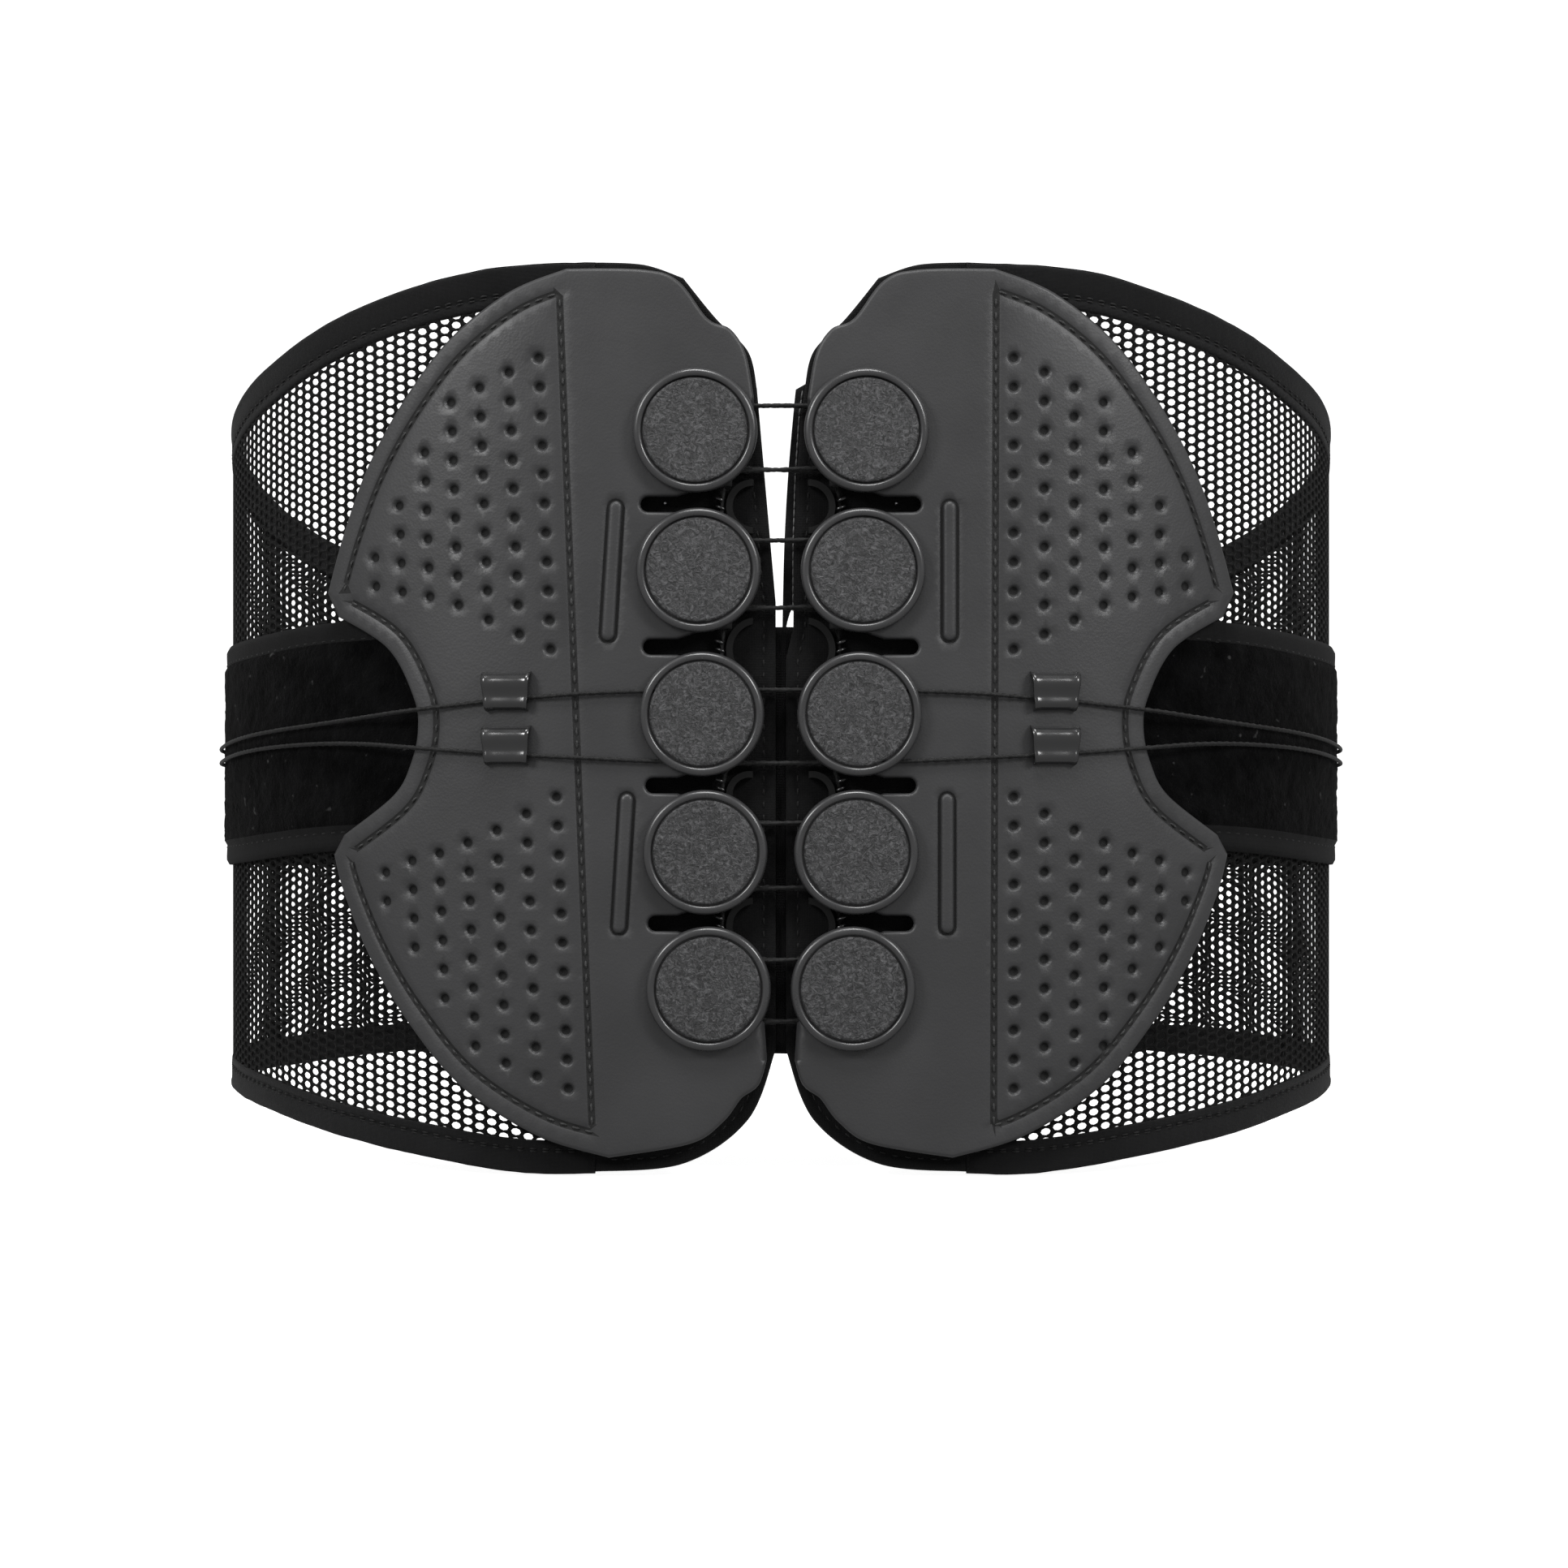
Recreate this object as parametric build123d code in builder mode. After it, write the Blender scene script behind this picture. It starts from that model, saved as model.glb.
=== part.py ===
import os
from math import cos, radians, sin, tan

from build123d import *

# Back brace worn round the waist, millimetres, +Z up.
# The laced back faces -Y and the front closure faces +Y.
# The origin is the centre of the waist opening.
# A place on the belt is given by s, the run round the waist from the spine,
# and by n, the distance outward from the belt's inner face.

# Waist line of one side: a straight run at the spine, three arcs, a straight run in front
BACK_Y = -98.0
SPINE_RUN = 42.0
ARCS = ((120.0, 35.0), (92.0, 55.0), (99.0, 90.0))
FRONT_RUN = 51.12
REACH = 130.0

# Layers, as distances outward
PAD = (-7.0, -1.2)
GUSSET = (-1.1, -0.1)
BASE = (0.0, 1.6)
MESH = (0.1, 1.3)
BINDING = (-0.6, 1.6)
STRAP = (1.7, 3.3)
SHELL = (3.4, 6.2)
CAVITY_TOP = 5.4
CAP = (6.25, 9.2)
CORD_ON_STRAP = 4.85
CORD_ON_SHELL = 7.25
LACE_LAYER = {"left": 2.8, "right": 4.2}
PULLEY = (1.8, 5.2)

# Runs round the waist
BASE_END = 45.7
MESH_START = 46.0
SEAM = 203.6
SEAM_GAP = 0.3
FRONT_CENTRE = 409.9
STRAP_START = 84.0
STRAP_END = 345.0
TAB_RUN = (262.0, 320.0)
TAB_CHANNEL_END = 306.0
CORD_END = 301.0

# Heights of the belt's edges along the waist
TOP_EDGE = (
    (40, 112.2), (73, 111.2), (100, 106.0), (121, 100.2), (144, 92.6), (168, 85.5), (203.6, 74.5),
    (235, 63.5), (262, 54.5), (310, 41.0), (359, 31.0), (409.9, 27.0),
)
BOTTOM_EDGE = (
    (40, -113.2), (65, -113.3), (100, -108.9), (121, -105.7), (151, -101.6), (203.6, -98.4),
    (262, -98.0), (310, -97.0), (409.9, -97.0),
)
TOP_BINDING = 10.0
BOTTOM_BINDING = 8.0
STRAP_TOP = ((84, 25.0), (120, 24.0), (154, 21.4), (203.6, 19.0), (262, 15.0), (345, 11.0))
STRAP_BOTTOM = ((84, -33.0), (118, -34.2), (163, -37.9), (203.6, -39.5), (262, -41.0), (345, -42.0))

# Lacing discs: five a side, leaning outward towards the top
ROWS = (70.0, 35.6, 0.2, -33.8, -67.4)
ROW_X = 19.4
LEAN = 0.024
CAP_R = 15.0
CAP_FACE_R = 12.8
INSERT_R = 12.6
LACED_ROWS = (0, 1, 3, 4)
GROOVE_R = 6.9
WRAP_R = 8.0
FLANGE_R = 8.9
AXLE_R = 2.5
BORE_R = 2.58
CORD_R = 0.6
SLOT_Z = (52.0, 16.8, -17.4, -51.4)
SLOT_HEIGHT = 3.8
TURN_X = 14.4
TURNS = ((60.0, 43.0), (26.0, 6.4), (-12.0, -27.2), (-43.2, -61.2))
GUIDE_CLEARANCE = 1.8


def spans():
    """The waist line's pieces as (start, end, radius or None)."""
    runs = [(0.0, SPINE_RUN, None)]
    for radius, angle in ARCS:
        runs.append((runs[-1][1], runs[-1][1] + radius * radians(angle), radius))
    runs.append((runs[-1][1], runs[-1][1] + FRONT_RUN, None))
    return runs


def wall(s, n=0.0):
    """Plan position at run s and distance n outward."""
    x, y, heading = 0.0, BACK_Y, 0.0
    for start, end, radius in spans():
        last = s <= end
        run = (s if last else end) - start
        if radius is None:
            x += run * cos(heading)
            y += run * sin(heading)
        else:
            turned = heading + run / radius
            x += radius * (sin(turned) - sin(heading))
            y += radius * (cos(heading) - cos(turned))
            heading = turned
        if last:
            break
    return (x + n * sin(heading), y - n * cos(heading))


def wall_edge(n, start, end):
    """The waist line between two runs, moved n outward."""
    for low, high, radius in spans():
        a, b = max(low, start), min(high, end)
        if b - a < 0.01:
            continue
        if radius is None:
            Line(wall(a, n), wall(b, n))
        else:
            ThreePointArc(wall(a, n), wall((a + b) / 2, n), wall(b, n))


def slab(layer, start, end, low=-REACH, high=REACH, mode=Mode.ADD):
    """A curved wall of one layer, standing between two heights."""
    inner, outer = layer
    with BuildSketch(Plane.XY.offset(low)) as plan:
        with BuildLine():
            wall_edge(inner, start, end)
            Line(wall(end, inner), wall(end, outer))
            wall_edge(outer, start, end)
            Line(wall(start, outer), wall(start, inner))
        make_face()
    extrude(plan.sketch, amount=high - low, mode=mode)


def keep_inside(outline):
    """Trim the part to an outline drawn on the plane of the back."""
    extrude(outline, amount=REACH, both=True, mode=Mode.INTERSECT)


def plate(sketch, thickness, mode=Mode.ADD):
    """Raise a sketch outward from the plane it is drawn on."""
    extrude(sketch, amount=thickness, mode=mode)


def level(edge, s):
    """Height of an edge at run s, on a smooth curve through its points."""
    last = len(edge) - 2
    i = min(last, max(k for k in range(last + 1) if k == 0 or edge[k][0] <= s))
    (s0, z0), (s1, z1) = edge[i], edge[i + 1]
    before, after = edge[max(i - 1, 0)], edge[min(i + 2, last + 1)]
    t = (s - s0) / (s1 - s0)
    slope0 = (z1 - before[1]) / (s1 - before[0]) * (s1 - s0)
    slope1 = (after[1] - z0) / (after[0] - s0) * (s1 - s0)
    return (
        z0 * (1 + 2 * t) * (1 - t) ** 2 + slope0 * t * (1 - t) ** 2
        + z1 * t**2 * (3 - 2 * t) - slope1 * t**2 * (1 - t)
    )


def edge_points(edge, start, end, n, rise):
    """Points of an edge seen from the back, between two runs."""
    steps = round((end - start) / 14)
    runs = [start + (end - start) * k / steps for k in range(steps + 1)]
    return [(wall(s, n)[0], level(edge, s) + rise) for s in runs]


def between(top, bottom, start, end, n, drop=0.0, rise=0.0):
    """Outline, seen from the back, of what lies between two edges of the belt."""
    upper = edge_points(top, start, end, n, -drop)
    lower = edge_points(bottom, start, end, n, rise)
    first = 12 if upper[0][0] > upper[-1][0] else -12
    upper_start, lower_start = ((p[0] + first, p[1]) for p in (upper[0], lower[0]))
    upper_end, lower_end = ((p[0] - first, p[1]) for p in (upper[-1], lower[-1]))
    with BuildSketch(Plane.XZ) as outline:
        with BuildLine():
            Line(upper_start, upper[0])
            Spline(*upper)
            Line(upper[-1], upper_end)
            Line(upper_end, lower_end)
            Line(lower_end, lower[-1])
            Spline(*lower)
            Line(lower[0], lower_start)
            Line(lower_start, upper_start)
        make_face()
    return outline.sketch


def back_plane(n):
    """Plane parallel to the flat of the back, at distance n outward."""
    return Plane.XZ.offset(n - BACK_Y)


def row_x(z):
    return ROW_X + LEAN * z


def wing_outline():
    """Outline of one wing, with its half-round notch, seen from the back."""
    with BuildLine() as line:
        Spline((53, 110.2), (67.7, 104.6), (83, 93.2), (95.5, 77.6), (104.7, 61.8), (110.9, 46), (115.4, 31))
        Line((115.4, 31), (112.6, 25.4))
        Spline((112.6, 25.4), (98.8, 16.8), (92, 4.5), (90.9, -3.6), (92.7, -11.7), (97.3, -19.8),
               (111, -30))
        Line((111, -30), (113.6, -34.5))
        Spline((113.6, -34.5), (110.8, -44.5), (103.6, -60.7), (93.4, -76.6), (79.4, -92.3),
               (42.4, -109.2))
        Spline((42.4, -109.2), (22.4, -105.8), (14.4, -100.6), (10.2, -95.2))
        Line((10.2, -95.2), (9, -94))
        Spline((9, -94), (5.4, -91.2), (3.4, -85))
        Line((3.4, -85), (4, -76))
        Line((4, -76), (12, -68))
        Line((12, -68), (12, 66))
        Line((12, 66), (6.6, 72))
        Line((6.6, 72), (6.6, 78))
        Spline((6.6, 78), (8.6, 89), (12.4, 95.2))
        Line((12.4, 95.2), (18, 97.8))
        Spline((18, 97.8), (25.4, 107.2), (34, 109.9), (53, 110.2))
    with BuildSketch(Plane.XZ) as outline:
        make_face(line.edges())
    return outline.sketch


def base_outline():
    """Outline of one base panel, with the margins that show beside the wing."""
    with BuildLine() as line:
        Spline((BASE_END + 1, 112.4), (34, 111.8), (24.2, 108.5), (16.1, 98.5))
        Spline((16.1, 98.5), (8.1, 90.3), (5.9, 81))
        Line((5.9, 81), (1.25, 28))
        Line((1.25, 28), (1.25, -83))
        Spline((1.25, -83), (8.1, -100.3), (24.2, -111.2), (BASE_END + 1, -113.2))
        Line((BASE_END + 1, -113.2), (BASE_END + 1, 112.4))
    with BuildSketch(Plane.XZ) as outline:
        make_face(line.edges())
    return outline.sketch


def base_panel(side):
    slab(BASE, 0, BASE_END)
    keep_inside(base_outline())


def lumbar_pad(side):
    """The quilted pad inside the back; it stays within the wing's outline."""
    slab(PAD, 4, 114)
    with BuildSketch(Plane.XZ) as outline:
        with BuildLine():
            Spline((46, 101), (67, 88.5), (85, 68.5), (97.5, 45), (103, 24))
            Line((103, 24), (102.5, -30))
            Spline((102.5, -30), (94.5, -58), (77, -81), (58, -94.5), (38, -101))
            Spline((38, -101), (20, -97.5), (9.5, -87), (6, -70))
            Line((6, -70), (6, 72))
            Spline((6, 72), (12, 88), (25, 98), (46, 101))
        make_face()
    keep_inside(outline.sketch)


def wing_foam(side):
    slab(STRAP, MESH_START, 112)
    with BuildSketch(Plane.XZ) as outline:
        with BuildLine():
            Spline((44, 107), (72, 92), (90, 71), (102, 48), (107, 31))
            Line((107, 31), (44, 31))
            Line((44, 31), (44, 107))
        make_face()
        with BuildLine():
            Spline((44, -104), (70, -93), (90, -73), (101, -54), (106, -40))
            Line((106, -40), (44, -40))
            Line((44, -40), (44, -104))
        make_face()
    keep_inside(outline.sketch)


def wing_shell(side):
    slab(SHELL, 2, 122)
    keep_inside(wing_outline())
    cavity_width, cavity_height = 38.0, 160.0
    with BuildSketch(back_plane(SHELL[0])) as shape:
        with Locations((cavity_width / 2, 0)):
            Rectangle(cavity_width, cavity_height)
    plate(shape.sketch, CAVITY_TOP - SHELL[0], Mode.SUBTRACT)
    with BuildSketch(back_plane(CAVITY_TOP)) as shape:
        for z in SLOT_Z:
            with Locations((0, z)):
                SlotOverall(2 * (33.7 + 0.018 * z), SLOT_HEIGHT)
        for row in LACED_ROWS:
            with Locations((row_x(ROWS[row]), ROWS[row])):
                Circle(BORE_R)
        with Locations((21, 5.9)):
            SlotOverall(23, 3)
        with Locations((19, -11.5)):
            SlotOverall(19, 3)
    plate(shape.sketch, SHELL[1] - CAVITY_TOP, Mode.SUBTRACT)


def cap(row):
    """A disc cap with a raised rim; the middle one bridges the two cord strands."""
    z = ROWS[row]
    floor = 8.4
    with BuildSketch(back_plane(CAP[0])) as shape:
        with Locations((row_x(z), z)):
            Circle(CAP_R)
    plate(shape.sketch, CAP[1] - CAP[0])
    fillet(edges().group_by(Axis.Y)[0], radius=1.0)
    with BuildSketch(back_plane(floor)) as shape:
        with Locations((row_x(z), z)):
            Circle(CAP_FACE_R)
    plate(shape.sketch, CAP[1] - floor, Mode.SUBTRACT)
    if row not in LACED_ROWS:
        with BuildSketch(back_plane(CAP[0])) as shape:
            with Locations((ROW_X, 5.9), (ROW_X, -11.5)):
                Rectangle(4 * CAP_R, 2.6)
        plate(shape.sketch, 1.6, Mode.SUBTRACT)


def cap_inserts(side):
    for z in ROWS:
        with BuildSketch(back_plane(8.4)) as shape:
            with Locations((row_x(z), z)):
                Circle(INSERT_R)
        plate(shape.sketch, 0.6)


def pulley(side, row):
    """A grooved wheel; its groove lies in the layer of its own side's cord."""
    z = ROWS[row]
    groove = (LACE_LAYER[side] - CORD_R - 0.05, LACE_LAYER[side] + CORD_R + 0.05)
    steps = ((PULLEY[0], groove[0], FLANGE_R), (*groove, GROOVE_R), (groove[1], PULLEY[1], FLANGE_R))
    for low, high, radius in steps:
        with BuildSketch(back_plane(low)) as shape:
            with Locations((row_x(z), z)):
                Circle(radius)
                Circle(BORE_R, mode=Mode.SUBTRACT)
        plate(shape.sketch, high - low)


def axle_rivets(side):
    for row in LACED_ROWS:
        with BuildSketch(back_plane(BASE[1])) as shape:
            with Locations((row_x(ROWS[row]), ROWS[row])):
                Circle(AXLE_R)
        plate(shape.sketch, SHELL[1] - BASE[1])


def lace_guides(side):
    """Curved ribs in the slots, where the other side's cord turns back."""
    for high, low in TURNS:
        outer = (high - low) / 2 - GUIDE_CLEARANCE
        centre = (TURN_X - CORD_R - 0.3 - outer, (high + low) / 2)
        with BuildSketch(back_plane(BASE[1])) as shape:
            with Locations(centre):
                Circle(outer)
                Circle(outer - 1.6, mode=Mode.SUBTRACT)
            with Locations((TURN_X, centre[1])):
                Rectangle(15.0, 2 * outer + 2, mode=Mode.INTERSECT)
        plate(shape.sketch, CAVITY_TOP - 0.1 - BASE[1])


def shell_ribs(side):
    length, width, height = 34.4, 3.2, 1.0
    with BuildSketch(back_plane(SHELL[1])) as shape:
        with Locations((41.3, 35.5), (39.9, -36.6)):
            SlotOverall(length, width, rotation=90)
    plate(shape.sketch, height)


def cord_loops(side):
    """Two small bridges on the wing that hold the cord's strands."""
    for z, cord_z in ((6.3, 3.7), (-11.2, -9.5)):
        slab((SHELL[1], 9.3), 60.6, 72.2, z - 5, z + 5)
        slab((SHELL[1] - 1, 8.3), 60, 73, cord_z - 1.7, cord_z + 1.7, Mode.SUBTRACT)


def bindings(start, end):
    """The edge bindings, folded round the mesh's top and bottom edges."""
    slab(BINDING, start, end)
    with BuildSketch(Plane.XZ) as outline:
        add(between(TOP_EDGE, TOP_EDGE, start, end, 0.7, 0.0, -TOP_BINDING))
        add(between(BOTTOM_EDGE, BOTTOM_EDGE, start, end, 0.7, -BOTTOM_BINDING, 0.0))
    keep_inside(outline.sketch)


def strap(start, end):
    slab(STRAP, start, end)
    keep_inside(between(STRAP_TOP, STRAP_BOTTOM, start, end, 2.5))


def mesh(start, end):
    slab(MESH, start, end)
    keep_inside(between(TOP_EDGE, BOTTOM_EDGE, start, end, 0.7, TOP_BINDING, BOTTOM_BINDING))


def front_end(side):
    """Where one side's front panel stops short of the centre."""
    return FRONT_CENTRE + (-2.0 if side == "left" else -6.0)


def side_mesh(side):
    mesh(MESH_START, SEAM - SEAM_GAP)


def front_mesh(side):
    mesh(SEAM + SEAM_GAP, front_end(side))


def side_bindings(side):
    bindings(MESH_START, SEAM - SEAM_GAP)


def front_bindings(side):
    bindings(SEAM + SEAM_GAP, front_end(side))


def side_strap(side):
    strap(STRAP_START, SEAM - SEAM_GAP)


def front_strap(side):
    strap(SEAM + SEAM_GAP, STRAP_END)


def lace_point(s, n, z):
    """A point of a cord; runs below 0 lie beyond the spine."""
    x, y = wall(s, n) if s > 0 else (s, BACK_Y - n)
    return Vector(x, y, z)


def corner_radii(points):
    """The largest even arc at each corner, 0.45 of the shorter run."""
    radii = []
    for a, b, c in zip(points, points[1:], points[2:]):
        turn = radians((b - a).get_angle(c - b))
        radii.append(0.45 * min((b - a).length, (c - b).length) / tan(turn / 2))
    return radii


def tube(points, name):
    radii = corner_radii(points)
    print(name, "tightest arc", round(min(radii), 1), "length", round(sum(
        (b - a).length for a, b in zip(points, points[1:]))))
    with BuildLine() as path:
        FilletPolyline(*points, radius=radii)
    with BuildSketch(Plane(path.line @ 0, z_dir=path.line % 0)) as section:
        Circle(CORD_R)
    sweep(section.sketch, path=path.line)


def side_run(zs):
    """The strand from the seam, over the strap and up onto the wing."""
    runs = (SEAM - SEAM_GAP, 182, 160, 140, 120)
    return [lace_point(s, CORD_ON_STRAP, z) for s, z in zip(runs, zs)]


def upper_cord(side):
    near, layer = CORD_ON_SHELL, LACE_LAYER[side]
    x1, x2 = row_x(ROWS[0]) + WRAP_R, row_x(ROWS[1]) + WRAP_R
    points = side_run((-8.3, -7.4, -5.2, -3.4, -1.8)) + [
        lace_point(s, n, z)
        for s, n, z in (
            (104, 6.2, -0.2), (92, near + 0.7, 1.2), (77, near, 2.8), (63, near, 4.2), (50, near, 5.2),
            (37, near - 0.2, 5.8),
            (29, near - 0.1, 5.8), (15.5, layer + 0.1, 6.1), (6, layer, 6.2),
            (-TURN_X, layer, TURNS[1][1]), (-TURN_X, layer, TURNS[1][0]),
            (x2, layer, ROWS[1] - WRAP_R), (x2, layer, ROWS[1] + WRAP_R),
            (-TURN_X, layer, TURNS[0][1]), (-TURN_X, layer, TURNS[0][0]),
            (x1, layer, ROWS[0] - WRAP_R), (x1, layer, ROWS[0] + WRAP_R), (-12.5, layer, 76.2),
        )
    ]
    tube(points, side + " upper cord")


def lower_cord(side):
    near, layer = CORD_ON_SHELL, LACE_LAYER[side]
    x4, x5 = row_x(ROWS[3]) + WRAP_R, row_x(ROWS[4]) + WRAP_R
    points = side_run((-11.9, -11.2, -9.0, -7.5, -6.7)) + [
        lace_point(s, n, z)
        for s, n, z in (
            (104, 6.2, -6.9), (92, near + 0.7, -7.8), (77, near, -9.0), (63, near, -9.9), (50, near, -10.5),
            (37, near - 0.2, -11.2), (27.5, near - 0.1, -11.5), (15.5, layer + 0.1, -11.6),
            (6, layer, -11.8), (-TURN_X, layer, TURNS[2][0]), (-TURN_X, layer, TURNS[2][1]),
            (x4, layer, ROWS[3] + WRAP_R), (x4, layer, ROWS[3] - WRAP_R),
            (-TURN_X, layer, TURNS[3][0]), (-TURN_X, layer, TURNS[3][1]),
            (x5, layer, ROWS[4] + WRAP_R), (x5, layer, ROWS[4] - WRAP_R), (-11.5, layer, -76.2),
        )
    ]
    tube(points, side + " lower cord")


def front_cords(side):
    """Both strands from the seam into the pull tab."""
    runs = (SEAM + SEAM_GAP, 222, 242, 262, 282, CORD_END)
    heights = (0.0, -0.1, -0.1, 0.0, 0.1, 0.1)
    for z in (-8.3, -11.9):
        points = [lace_point(s, CORD_ON_STRAP, z + h) for s, h in zip(runs, heights)]
        tube(points, side + " front cord")


def pull_tab(side):
    """A curved tab on the strap, hollow beneath for the cord, with a grip ridge."""
    start, end = TAB_RUN
    middle, height, corner = -9.8, 44.0, 9.0
    slab((3.6, 7.4), start, end)
    slab((7.4, 9.2), end - 14, end - 8)
    x_low, x_high = wall(end, 5)[0], wall(start, 5)[0]
    with BuildSketch(Plane.XZ) as outline:
        with Locations(((x_low + x_high) / 2, middle)):
            RectangleRounded(x_high - x_low + 1, height, corner)
    keep_inside(outline.sketch)
    slab((3.4, 5.9), start - 2, TAB_CHANNEL_END, middle - 4, middle + 4, Mode.SUBTRACT)


def finish(name, piece):
    piece.part.label = name
    export_step(piece.part, "parts/" + name + ".step")


def closure_flap():
    """The front closure: sewn to the left mesh, lying over the right one."""
    start_x, end_x, low, high = -30.0, 50.0, -88.0, 18.0
    front = Plane.XZ.offset(BACK_Y)
    with BuildSketch(front.offset(-4.5)) as flap:
        with Locations(((start_x + end_x) / 2, (low + high) / 2)):
            RectangleRounded(end_x - start_x, high - low, 9)
    extrude(flap.sketch, amount=1.8)
    with BuildSketch(front.offset(-2.7)) as sewn:
        with Locations((start_x + 12, (low + high) / 2)):
            RectangleRounded(20, high - low - 4, 7)
    extrude(sewn.sketch, amount=1.0)


def hook_patch():
    start_x, end_x, low, high = 8.0, 47.0, -84.0, 14.0
    with BuildSketch(Plane.XZ.offset(BACK_Y - 2.7)) as patch:
        with Locations(((start_x + end_x) / 2, (low + high) / 2)):
            RectangleRounded(end_x - start_x, high - low, 5)
    extrude(patch.sketch, amount=0.8)


def centre_gusset():
    """Stretch fabric between the two base panels, behind their inner margins."""
    low, high, half_width = -84.0, 22.0, 12.0
    with BuildSketch(back_plane(GUSSET[0])) as shape:
        with Locations((0, (low + high) / 2)):
            Rectangle(2 * half_width, high - low)
    plate(shape.sketch, GUSSET[1] - GUSSET[0])


os.makedirs("parts", exist_ok=True)

MAKERS = {
    "base_panel": base_panel,
    "lumbar_pad": lumbar_pad,
    "wing_foam": wing_foam,
    "wing_shell": wing_shell,
    "cap_inserts": cap_inserts,
    "axle_rivets": axle_rivets,
    "lace_guides": lace_guides,
    "shell_ribs": shell_ribs,
    "cord_loops": cord_loops,
    "side_mesh": side_mesh,
    "side_bindings": side_bindings,
    "side_strap": side_strap,
    "upper_cord": upper_cord,
    "lower_cord": lower_cord,
    "front_mesh": front_mesh,
    "front_bindings": front_bindings,
    "front_strap": front_strap,
    "front_cords": front_cords,
    "pull_tab": pull_tab,
}
for row in range(len(ROWS)):
    MAKERS["cap_" + str(row + 1)] = lambda side, row=row: cap(row)
for row in LACED_ROWS:
    MAKERS["pulley_" + str(row + 1)] = lambda side, row=row: pulley(side, row)

for side in ("left", "right"):
    for kind, make in MAKERS.items():
        with BuildPart() as piece:
            make(side)
            if side == "left":
                mirror(about=Plane.YZ, mode=Mode.REPLACE)
        finish(side + "_" + kind, piece)

SINGLE = {"closure_flap": closure_flap, "hook_patch": hook_patch, "centre_gusset": centre_gusset}
for name, make in SINGLE.items():
    with BuildPart() as piece:
        make()
    finish(name, piece)
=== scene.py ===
import math

import bpy
import numpy as np
from mathutils import Matrix, Vector
from mathutils.geometry import delaunay_2d_cdt


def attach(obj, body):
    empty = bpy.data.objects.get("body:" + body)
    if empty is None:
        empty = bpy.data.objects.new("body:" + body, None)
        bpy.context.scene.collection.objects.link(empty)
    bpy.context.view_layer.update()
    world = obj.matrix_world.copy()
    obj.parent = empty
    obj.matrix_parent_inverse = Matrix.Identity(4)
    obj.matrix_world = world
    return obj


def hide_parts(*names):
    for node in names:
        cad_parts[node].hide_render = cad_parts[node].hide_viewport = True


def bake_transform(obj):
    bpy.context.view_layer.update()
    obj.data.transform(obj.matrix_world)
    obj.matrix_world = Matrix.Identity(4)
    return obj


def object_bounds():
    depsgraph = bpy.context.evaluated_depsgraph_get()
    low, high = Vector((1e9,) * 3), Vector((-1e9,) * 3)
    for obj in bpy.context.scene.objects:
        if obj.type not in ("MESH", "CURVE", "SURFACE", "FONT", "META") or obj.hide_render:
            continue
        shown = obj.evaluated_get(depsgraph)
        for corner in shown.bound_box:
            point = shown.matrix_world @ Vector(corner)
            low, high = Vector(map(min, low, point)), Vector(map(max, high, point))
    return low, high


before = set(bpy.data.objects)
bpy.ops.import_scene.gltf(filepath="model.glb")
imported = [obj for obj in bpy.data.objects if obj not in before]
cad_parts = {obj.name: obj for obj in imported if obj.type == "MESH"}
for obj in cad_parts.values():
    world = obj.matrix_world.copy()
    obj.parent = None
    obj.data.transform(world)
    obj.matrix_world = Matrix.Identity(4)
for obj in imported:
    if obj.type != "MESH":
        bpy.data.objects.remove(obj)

CAD_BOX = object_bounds()
MM = 0.001
SIDES = {"left": -1, "right": 1}

# ---------------------------------------------------------------- the belt's surface
# A place is (side, s, n, z) in millimetres: s is the run round the waist from the
# spine, n the distance outward from the belt's inner face, z the height.
BACK_Y = -98.0
SPINE_RUN = 42.0
ARCS = ((120.0, 35.0), (92.0, 55.0), (99.0, 90.0))
FRONT_CENTRE = 409.9
SEAM = 203.6

TOP_EDGE = (
    (40, 112.2), (73, 111.2), (100, 106.0), (121, 100.2), (144, 92.6), (168, 85.5), (203.6, 74.5),
    (235, 63.5), (262, 54.5), (310, 41.0), (359, 31.0), (409.9, 27.0),
)
BOTTOM_EDGE = (
    (40, -113.2), (65, -113.3), (100, -108.9), (121, -105.7), (151, -101.6), (203.6, -98.4),
    (262, -98.0), (310, -97.0), (409.9, -97.0),
)
STRAP_TOP = ((84, 25.0), (120, 24.0), (154, 21.4), (203.6, 19.0), (262, 15.0), (345, 11.0))
STRAP_BOTTOM = ((84, -33.0), (118, -34.2), (163, -37.9), (203.6, -39.5), (262, -41.0), (345, -42.0))
TOP_BINDING = 10.0
BOTTOM_BINDING = 8.0

# layers, as their inner and outer distances outward
PAD = (-7.0, -1.2)
GUSSET = (-1.1, -0.1)
BASE = (0.0, 1.6)
BINDING = (-0.6, 1.6)
STRAP = (1.7, 3.3)
SHELL = (3.4, 6.2)
ROWS = (70.0, 35.6, 0.2, -33.8, -67.4)
ROW_X = 19.4
LEAN = 0.024
SEAM_X = 150.0
BELT_BLEND = (-26.0, 26.0)


def row_x(z):
    return ROW_X + LEAN * z


def waist_pieces():
    """(start, end, radius, x, y, heading) of each piece of the waist line."""
    pieces = [(-60.0, SPINE_RUN, None, -60.0, BACK_Y, 0.0)]
    x, y, heading, start = SPINE_RUN, BACK_Y, 0.0, SPINE_RUN
    for radius, angle in ARCS:
        turn = math.radians(angle)
        pieces.append((start, start + radius * turn, radius, x, y, heading))
        x += radius * (math.sin(heading + turn) - math.sin(heading))
        y += radius * (math.cos(heading) - math.cos(heading + turn))
        heading, start = heading + turn, start + radius * turn
    pieces.append((start, 600.0, None, x, y, heading))
    return pieces


WAIST = waist_pieces()


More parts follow.
